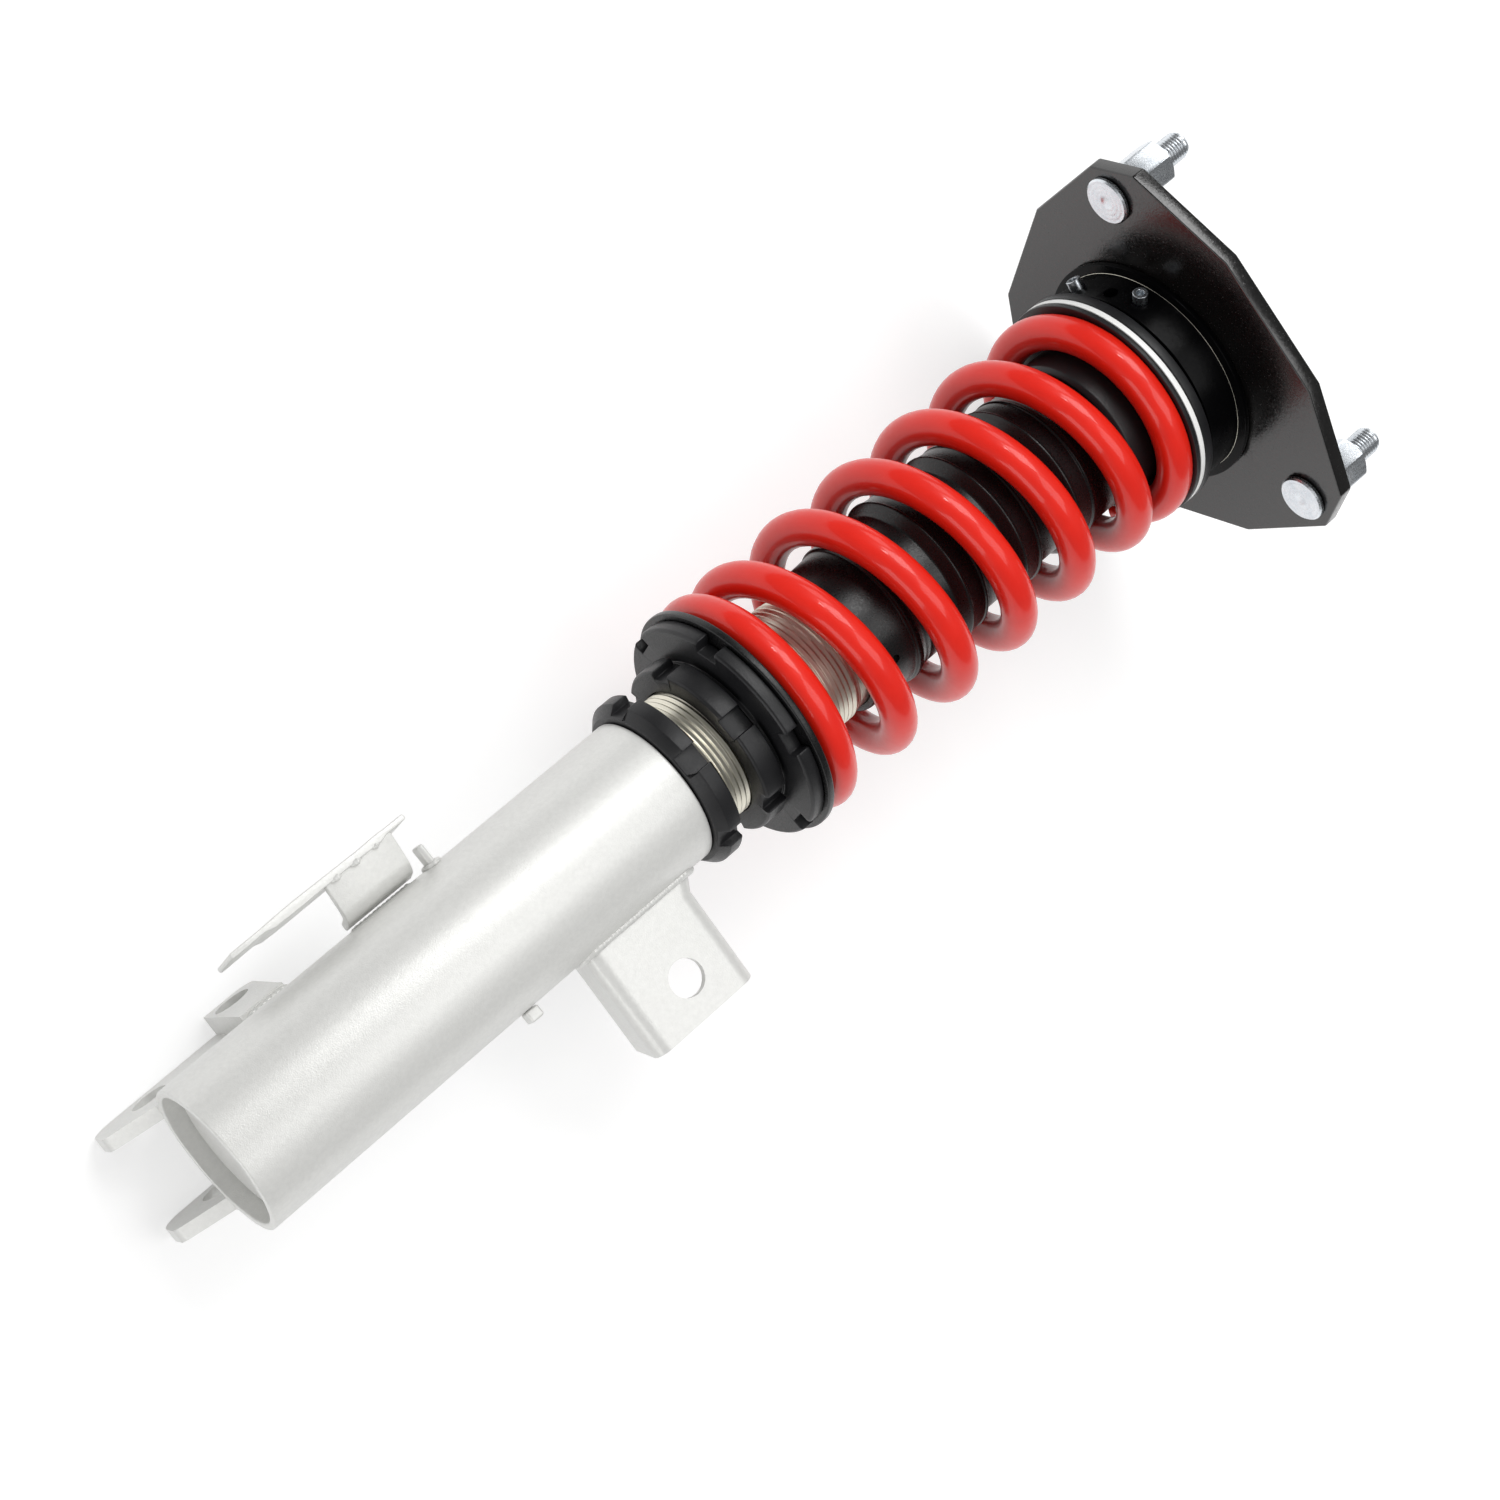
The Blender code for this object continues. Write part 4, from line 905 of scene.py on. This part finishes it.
makeHub()
for number in (1, 2, 3):
    makeStud(number)
    makeNut(number)
print("top mount made")


weld = {
    "radius": 1.7,
    "thin": 1.4,
    "ripple": 0.32,
    "step": 1.9,            # from one ripple to the next
    "spacing": 0.4,
    "fullness": 0.86,
    "wander": 0.0875,       # how much the bead's size varies along it
    "wanderScale": 0.35,
    "flatness": 0.75,
    "taper": 5,             # rings over which each end closes
    "sides": 12,
    "proud": 0.2,
    "linkLow": 128.5,
    "linkHigh": 175.4,
    "linkAcross": (-16.0, -12.0, -8.0, -4.0, 0.0, 4.0, 7.5),
    "linkTurn": ((2.5, 9.8), (5.0, 10.4)),      # up and across, round the bracket's corner
    "hoseDepths": {"hoseWeldUpper": -10.8, "hoseWeldLower": -13.4},
    "hoseHeights": (78.5, 92.0, 104.5),
    "earPath": (
        (20.9, -17.2, 1.5), (20.9, -17.2, 34.0), (25.4, -10.2, 38.0), (25.6, -9.6, 42.0),
        (25.6, -9.6, 51.0), (24.6, -11.5, 52.4), (22.2, -16.0, 52.6),
    ),
}


def bead(name, path, radius):
    # a bead with ripples laid along a path of strut points
    dense = []
    for a, b in zip(path, path[1:]):
        a, b = Vector(a), Vector(b)
        pieces = max(1, round((b - a).length / weld["spacing"]))
        dense += [a.lerp(b, i / pieces) for i in range(pieces)]
    dense.append(Vector(path[-1]))
    travelled, sides, count = 0.0, weld["sides"], len(dense)
    points = []
    for i, here in enumerate(dense):
        ahead, behind = dense[min(i + 1, count - 1)], dense[max(i - 1, 0)]
        along = (ahead - behind).normalized()
        out = squared(here, along)
        across = along.cross(out)
        travelled += (here - behind).length if i else 0.0
        ripple = weld["ripple"] * abs(math.sin(math.pi * travelled / weld["step"]))
        wander = weld["wander"] * noise.noise(here * weld["wanderScale"])
        ends = min(1.0, (i + 1) / weld["taper"], (count - i) / weld["taper"])
        size = (radius * (weld["fullness"] + wander) + ripple) * ends
        for k in range(sides):
            angle = math.tau * k / sides
            around = out * math.cos(angle) * weld["flatness"] + across * math.sin(angle)
            points.append(here + around * size)
    placed(meshObject(name, points, tube(count, sides), 70.0), "housing", "silver_paint")


def onTube(height, across, side):
    radius = housing["outside"] + weld["proud"]
    return (side * math.sqrt(radius ** 2 - across ** 2), across, height)


def makeWelds():
    low, high = weld["linkLow"], weld["linkHigh"]
    path = [(low, across) for across in weld["linkAcross"]]
    path += [(low + up, across) for up, across in weld["linkTurn"]]
    path += [(high - up, across) for up, across in reversed(weld["linkTurn"])]
    path += [(high, across) for across in reversed(weld["linkAcross"])]
    bead("linkWeld", [onTube(height, across, -1) for height, across in path], weld["radius"])
    for name, depth in weld["hoseDepths"].items():
        bead(name, [onTube(height, depth, 1) for height in weld["hoseHeights"]], weld["thin"])
    for name, side in (("earWeldRight", 1), ("earWeldLeft", -1)):
        bead(name, [(side * x, y, z) for x, y, z in weld["earPath"]], weld["thin"])


makeWelds()
print("welds made")


hose = {
    "place": (45.2, 2.0),
    "turn": 12.0,
    "middle": (57.0, 101.0),    # between these heights the sheet is doubled
    "trim": 3.0,                # its lower end stops this far above the solid's
    "depth": 24.0,
    # the sheet's side view: the height each point is measured from, how far above it, and across
    "side": (
        ("low", 0.0, 1.2), ("foot", -4.0, 1.2), ("foot", 0.0, 1.4), ("foot", 9.0, 1.6),
        ("top", -8.0, 1.2), ("top", 0.0, 1.4), ("top", 2.5, 1.2), ("high", 0.0, 1.2),
        ("high", 0.0, -0.8), ("top", 2.0, -0.8), ("top", 0.0, -1.6), ("top", -10.0, -1.4),
        ("foot", 8.0, -1.6), ("foot", 0.0, -1.4), ("foot", -2.5, -0.6), ("low", 0.0, -0.8),
    ),
    "corner": 1.2,
    "edge": 0.45,
    # the web is a sheet bent down where it meets the tube; its underside is set off from its top
    "web": ((44.6, 1.4), (32.6, -1.2), (28.8, -3.8), (26.3, -11.0)),
    "webUnder": ((0.0, -3.0), (0.9, -3.0), (2.5, -1.6), (3.0, 0.0)),
    "webSpan": (78.0, 105.0),
    "webBend": 2.4,
    "webEdge": 0.4,
    "sharp": 50.0,
    "tacks": ((80.0, 84.5), (88.0, 92.5), (97.0, 100.0)),
    "tackPlace": (43.6, 1.4),
    "tackRadius": 1.5,
}


def makeHoseBracket():
    low, high = span("hose_bracket")
    foot, top = hose["middle"]
    heights = {"low": low + hose["trim"], "foot": foot, "top": top, "high": high}
    side = [(heights[start] + above, across) for start, above, across in hose["side"]]
    sheet = Matrix.Translation((*hose["place"], 0.0)) @ Matrix.Rotation(math.radians(-hose["turn"]), 4, "Z")
    sheet @= Matrix(((0, 1, 0, 0), (0, 0, 1, 0), (1, 0, 0, 0), (0, 0, 0, 1)))
    plate = prism("plate", softened(side, hose["corner"]), -hose["depth"], 0.0, sheet)
    rounded(plate, hose["edge"], limit=hose["sharp"])
    under = [(x + out, y + down) for (x, y), (out, down) in zip(hose["web"], hose["webUnder"])]
    outline = softened([*hose["web"], *reversed(under)], hose["webBend"], 5)
    web = prism("web", outline, *hose["webSpan"])
    rounded(web, hose["webEdge"], limit=hose["sharp"])
    placed(join("hoseBracket", [plate, web]), "housing", "silver_paint", ["hose_bracket"])
    for number, ends in enumerate(hose["tacks"], start=1):
        bead(f"hoseTack{number}", [(*hose["tackPlace"], z) for z in ends], hose["tackRadius"])


clip = {
    "angle": -6.0,
    "outline": ((-1.5, -3.2), (1.2, -3.4), (1.7, -1.0), (1.4, 2.6), (-0.6, 3.4), (-1.8, 0.4)),
    "corner": 1.0,
    "sink": 0.5,
    "trim": 0.2,
    "edge": 0.7,
    "weldRing": (2.4, 3.45),    # half widths of the bead round its foot
    "weldProud": 0.3,
    "weldRadius": 1.1,
}


def makeClipTab():
    low, high = span("clip_tab")
    steer = outward(clip["angle"], (low + high) / 2)
    outside = housing["outside"]
    tab = prism("clipTab", softened(clip["outline"], clip["corner"], 4), outside - clip["sink"],
                widest("clip_tab") - clip["trim"], steer)
    rounded(tab, clip["edge"], limit=hose["sharp"], segments=4)
    placed(tab, "housing", "silver_paint", ["clip_tab"])
    wide, tall = clip["weldRing"]
    ring = circle(1.0, 20)
    path = [steer @ Vector((x * wide, y * tall, outside + clip["weldProud"])) for x, y in ring + ring[:1]]
    bead("clipWeld", path, clip["weldRadius"])


makeHoseBracket()
makeClipTab()
print("hose bracket made")


# the width of the softened edges on the pieces that keep their solids; 0 only evens the shading
edgeWidth = {
    "mount_plate": 0.0, "knuckle_ear_right": 0.55, "knuckle_ear_left": 0.55, "link_bracket": 0.5,
    "stop_lug": 1.3, "top_nut": 0.25, "set_screw_1": 0.2, "set_screw_2": 0.2,
}
edges = {
    "merge": 0.002,     # points this close are one
    "flat": 1.0,
    "sharp": 32.0,
    "segments": 3,
}


def soften(node, width):
    part = nodes[node]
    joined = part.modifiers.new("joined", "WELD")
    joined.merge_threshold = edges["merge"] * mm
    flat = part.modifiers.new("flat", "DECIMATE")
    flat.decimate_type = "DISSOLVE"
    flat.angle_limit = math.radians(edges["flat"])
    if width:
        edge = part.modifiers.new("edge", "BEVEL")
        edge.width = width * mm
        edge.segments = edges["segments"]
        edge.limit_method = "ANGLE"
        edge.angle_limit = math.radians(edges["sharp"])
    even = part.modifiers.new("even", "WEIGHTED_NORMAL")
    even.keep_sharp = True
    for attribute in ("custom_normal", "sharp_edge"):
        if attribute in part.data.attributes:
            part.data.attributes.remove(part.data.attributes[attribute])
    shade(part.data, edges["sharp"])


for node, width in edgeWidth.items():
    soften(node, width)
print("edges softened")


# places, sizes and reach in metres, powers in watts
light = {
    "world": 0.46,          # lights the object evenly
    "reflected": 0.16,      # what glossy surfaces mirror of it
    "backdrop": 0.95,       # what the camera sees of it
    "floorShade": 0.55,
    "floorSeen": 0.56,      # the floor's glow as seen by the camera and in reflections
    "floorGlow": 0.12,      # the floor's glow as a lamp
    "floorReach": 4.0,
}
lamps = {
    "key": {"place": (0.70, 0.80, 1.80), "aim": (0.0, 0.0, 0.05), "size": 1.0, "power": 15.5},
    "top": {"place": (0.35, -0.55, 1.90), "aim": (0.05, 0.0, 0.05), "size": 1.2, "power": 10.0},
    "fill": {"place": (-1.7, -0.25, 0.45), "aim": (0.0, 0.0, 0.05), "size": 1.1, "power": 8.0},
    "strip": {"place": (1.2, 1.2, 0.9), "aim": (0.0, 0.0, 0.05), "size": 0.7, "power": 3.0},
    "spark": {"place": (0.15, 0.95, 1.35), "aim": (0.05, 0.0, 0.07), "size": 0.16, "power": 1.6},
}
white = (1.0, 1.0, 1.0, 1.0)


def makeFloor():
    reach = light["floorReach"]
    corners = [(-reach, -reach, 0), (reach, -reach, 0), (reach, reach, 0), (-reach, reach, 0)]
    part = meshObject("floor", corners, [(0, 1, 2, 3)])
    # matt white paper: keeps the ground white with only soft contact shadows
    material = bpy.data.materials.new("whitePaper")
    material.use_nodes = True
    tree = material.node_tree
    paper = []
    for glow in (light["floorGlow"], light["floorSeen"]):
        paper.append(addNode(tree, "ShaderNodeBsdfPrincipled", inputs={
            "Base Color": (*(light["floorShade"],) * 3, 1.0), "Roughness": 0.9, "Specular IOR Level": 0.1,
            "Emission Color": white, "Emission Strength": glow,
        }).outputs["BSDF"])
    path = addNode(tree, "ShaderNodeLightPath")
    looked = addNode(tree, "ShaderNodeMath", {"operation": "MAXIMUM"}, {
        0: path.outputs["Is Camera Ray"], 1: path.outputs["Is Glossy Ray"],
    }).outputs["Value"]
    mix = addNode(tree, "ShaderNodeMixShader", inputs={0: looked, 1: paper[0], 2: paper[1]})
    tree.links.new(mix.outputs["Shader"], tree.nodes["Material Output"].inputs["Surface"])
    tree.nodes.remove(tree.nodes["Principled BSDF"])
    part.data.materials.append(material)


def makeWorld():
    world = bpy.data.worlds.new("studio")
    world.use_nodes = True
    bpy.context.scene.world = world
    tree = world.node_tree
    tree.nodes.remove(tree.nodes["Background"])
    glows = [
        addNode(tree, "ShaderNodeBackground", inputs={"Color": white, "Strength": light[key]})
        for key in ("world", "reflected", "backdrop")
    ]
    even, mirrored, backdrop = (glow.outputs["Background"] for glow in glows)
    path = addNode(tree, "ShaderNodeLightPath")
    lit = addNode(tree, "ShaderNodeMixShader", inputs={
        0: path.outputs["Is Glossy Ray"], 1: even, 2: mirrored,
    }).outputs["Shader"]
    mix = addNode(tree, "ShaderNodeMixShader", inputs={
        0: path.outputs["Is Camera Ray"], 1: lit, 2: backdrop,
    })
    tree.links.new(mix.outputs["Shader"], tree.nodes["World Output"].inputs["Surface"])


def makeLamp(name, values):
    data = bpy.data.lights.new(name, "AREA")
    data.shape = "SQUARE"
    data.size = values["size"]
    data.energy = values["power"]
    place, aim = Vector(values["place"]), Vector(values["aim"])
    turn = (place - aim).to_track_quat("Z", "Y").to_matrix().to_4x4()
    linked(name, data).matrix_world = Matrix.Translation(place) @ turn


camera = {
    "aim": (-0.01155, -0.00943, 0.07),
    "distance": 1.019,
    "azimuth": 114.149,
    "elevation": 60.551,
    "roll": 75.846,
    "lens": 75.02,
    "sensor": 36.0,
    "clip": (0.05, 20.0),
}


def makeCamera():
    data = bpy.data.cameras.new("camera")
    data.lens = camera["lens"]
    data.sensor_width = camera["sensor"]
    data.clip_start, data.clip_end = camera["clip"]
    azimuth, elevation, roll = (math.radians(camera[key]) for key in ("azimuth", "elevation", "roll"))
    level = math.cos(elevation)
    look = Vector((math.sin(azimuth) * level, math.cos(azimuth) * level, -math.sin(elevation)))
    beside = look.cross(Vector((0.0, 0.0, 1.0))).normalized()
    over = beside.cross(look)
    right = beside * math.cos(roll) + over * math.sin(roll)
    up = over * math.cos(roll) - beside * math.sin(roll)
    place = Vector(camera["aim"]) - look * camera["distance"]
    eye = linked("camera", data)
    eye.matrix_world = Matrix((
        (right.x, up.x, -look.x, place.x),
        (right.y, up.y, -look.y, place.y),
        (right.z, up.z, -look.z, place.z),
        (0.0, 0.0, 0.0, 1.0),
    ))
    bpy.context.scene.camera = eye


makeFloor()
makeWorld()
for name, values in lamps.items():
    makeLamp(name, values)
makeCamera()
bpy.context.scene.view_settings.view_transform = "Standard"
print("floor, light and camera made")
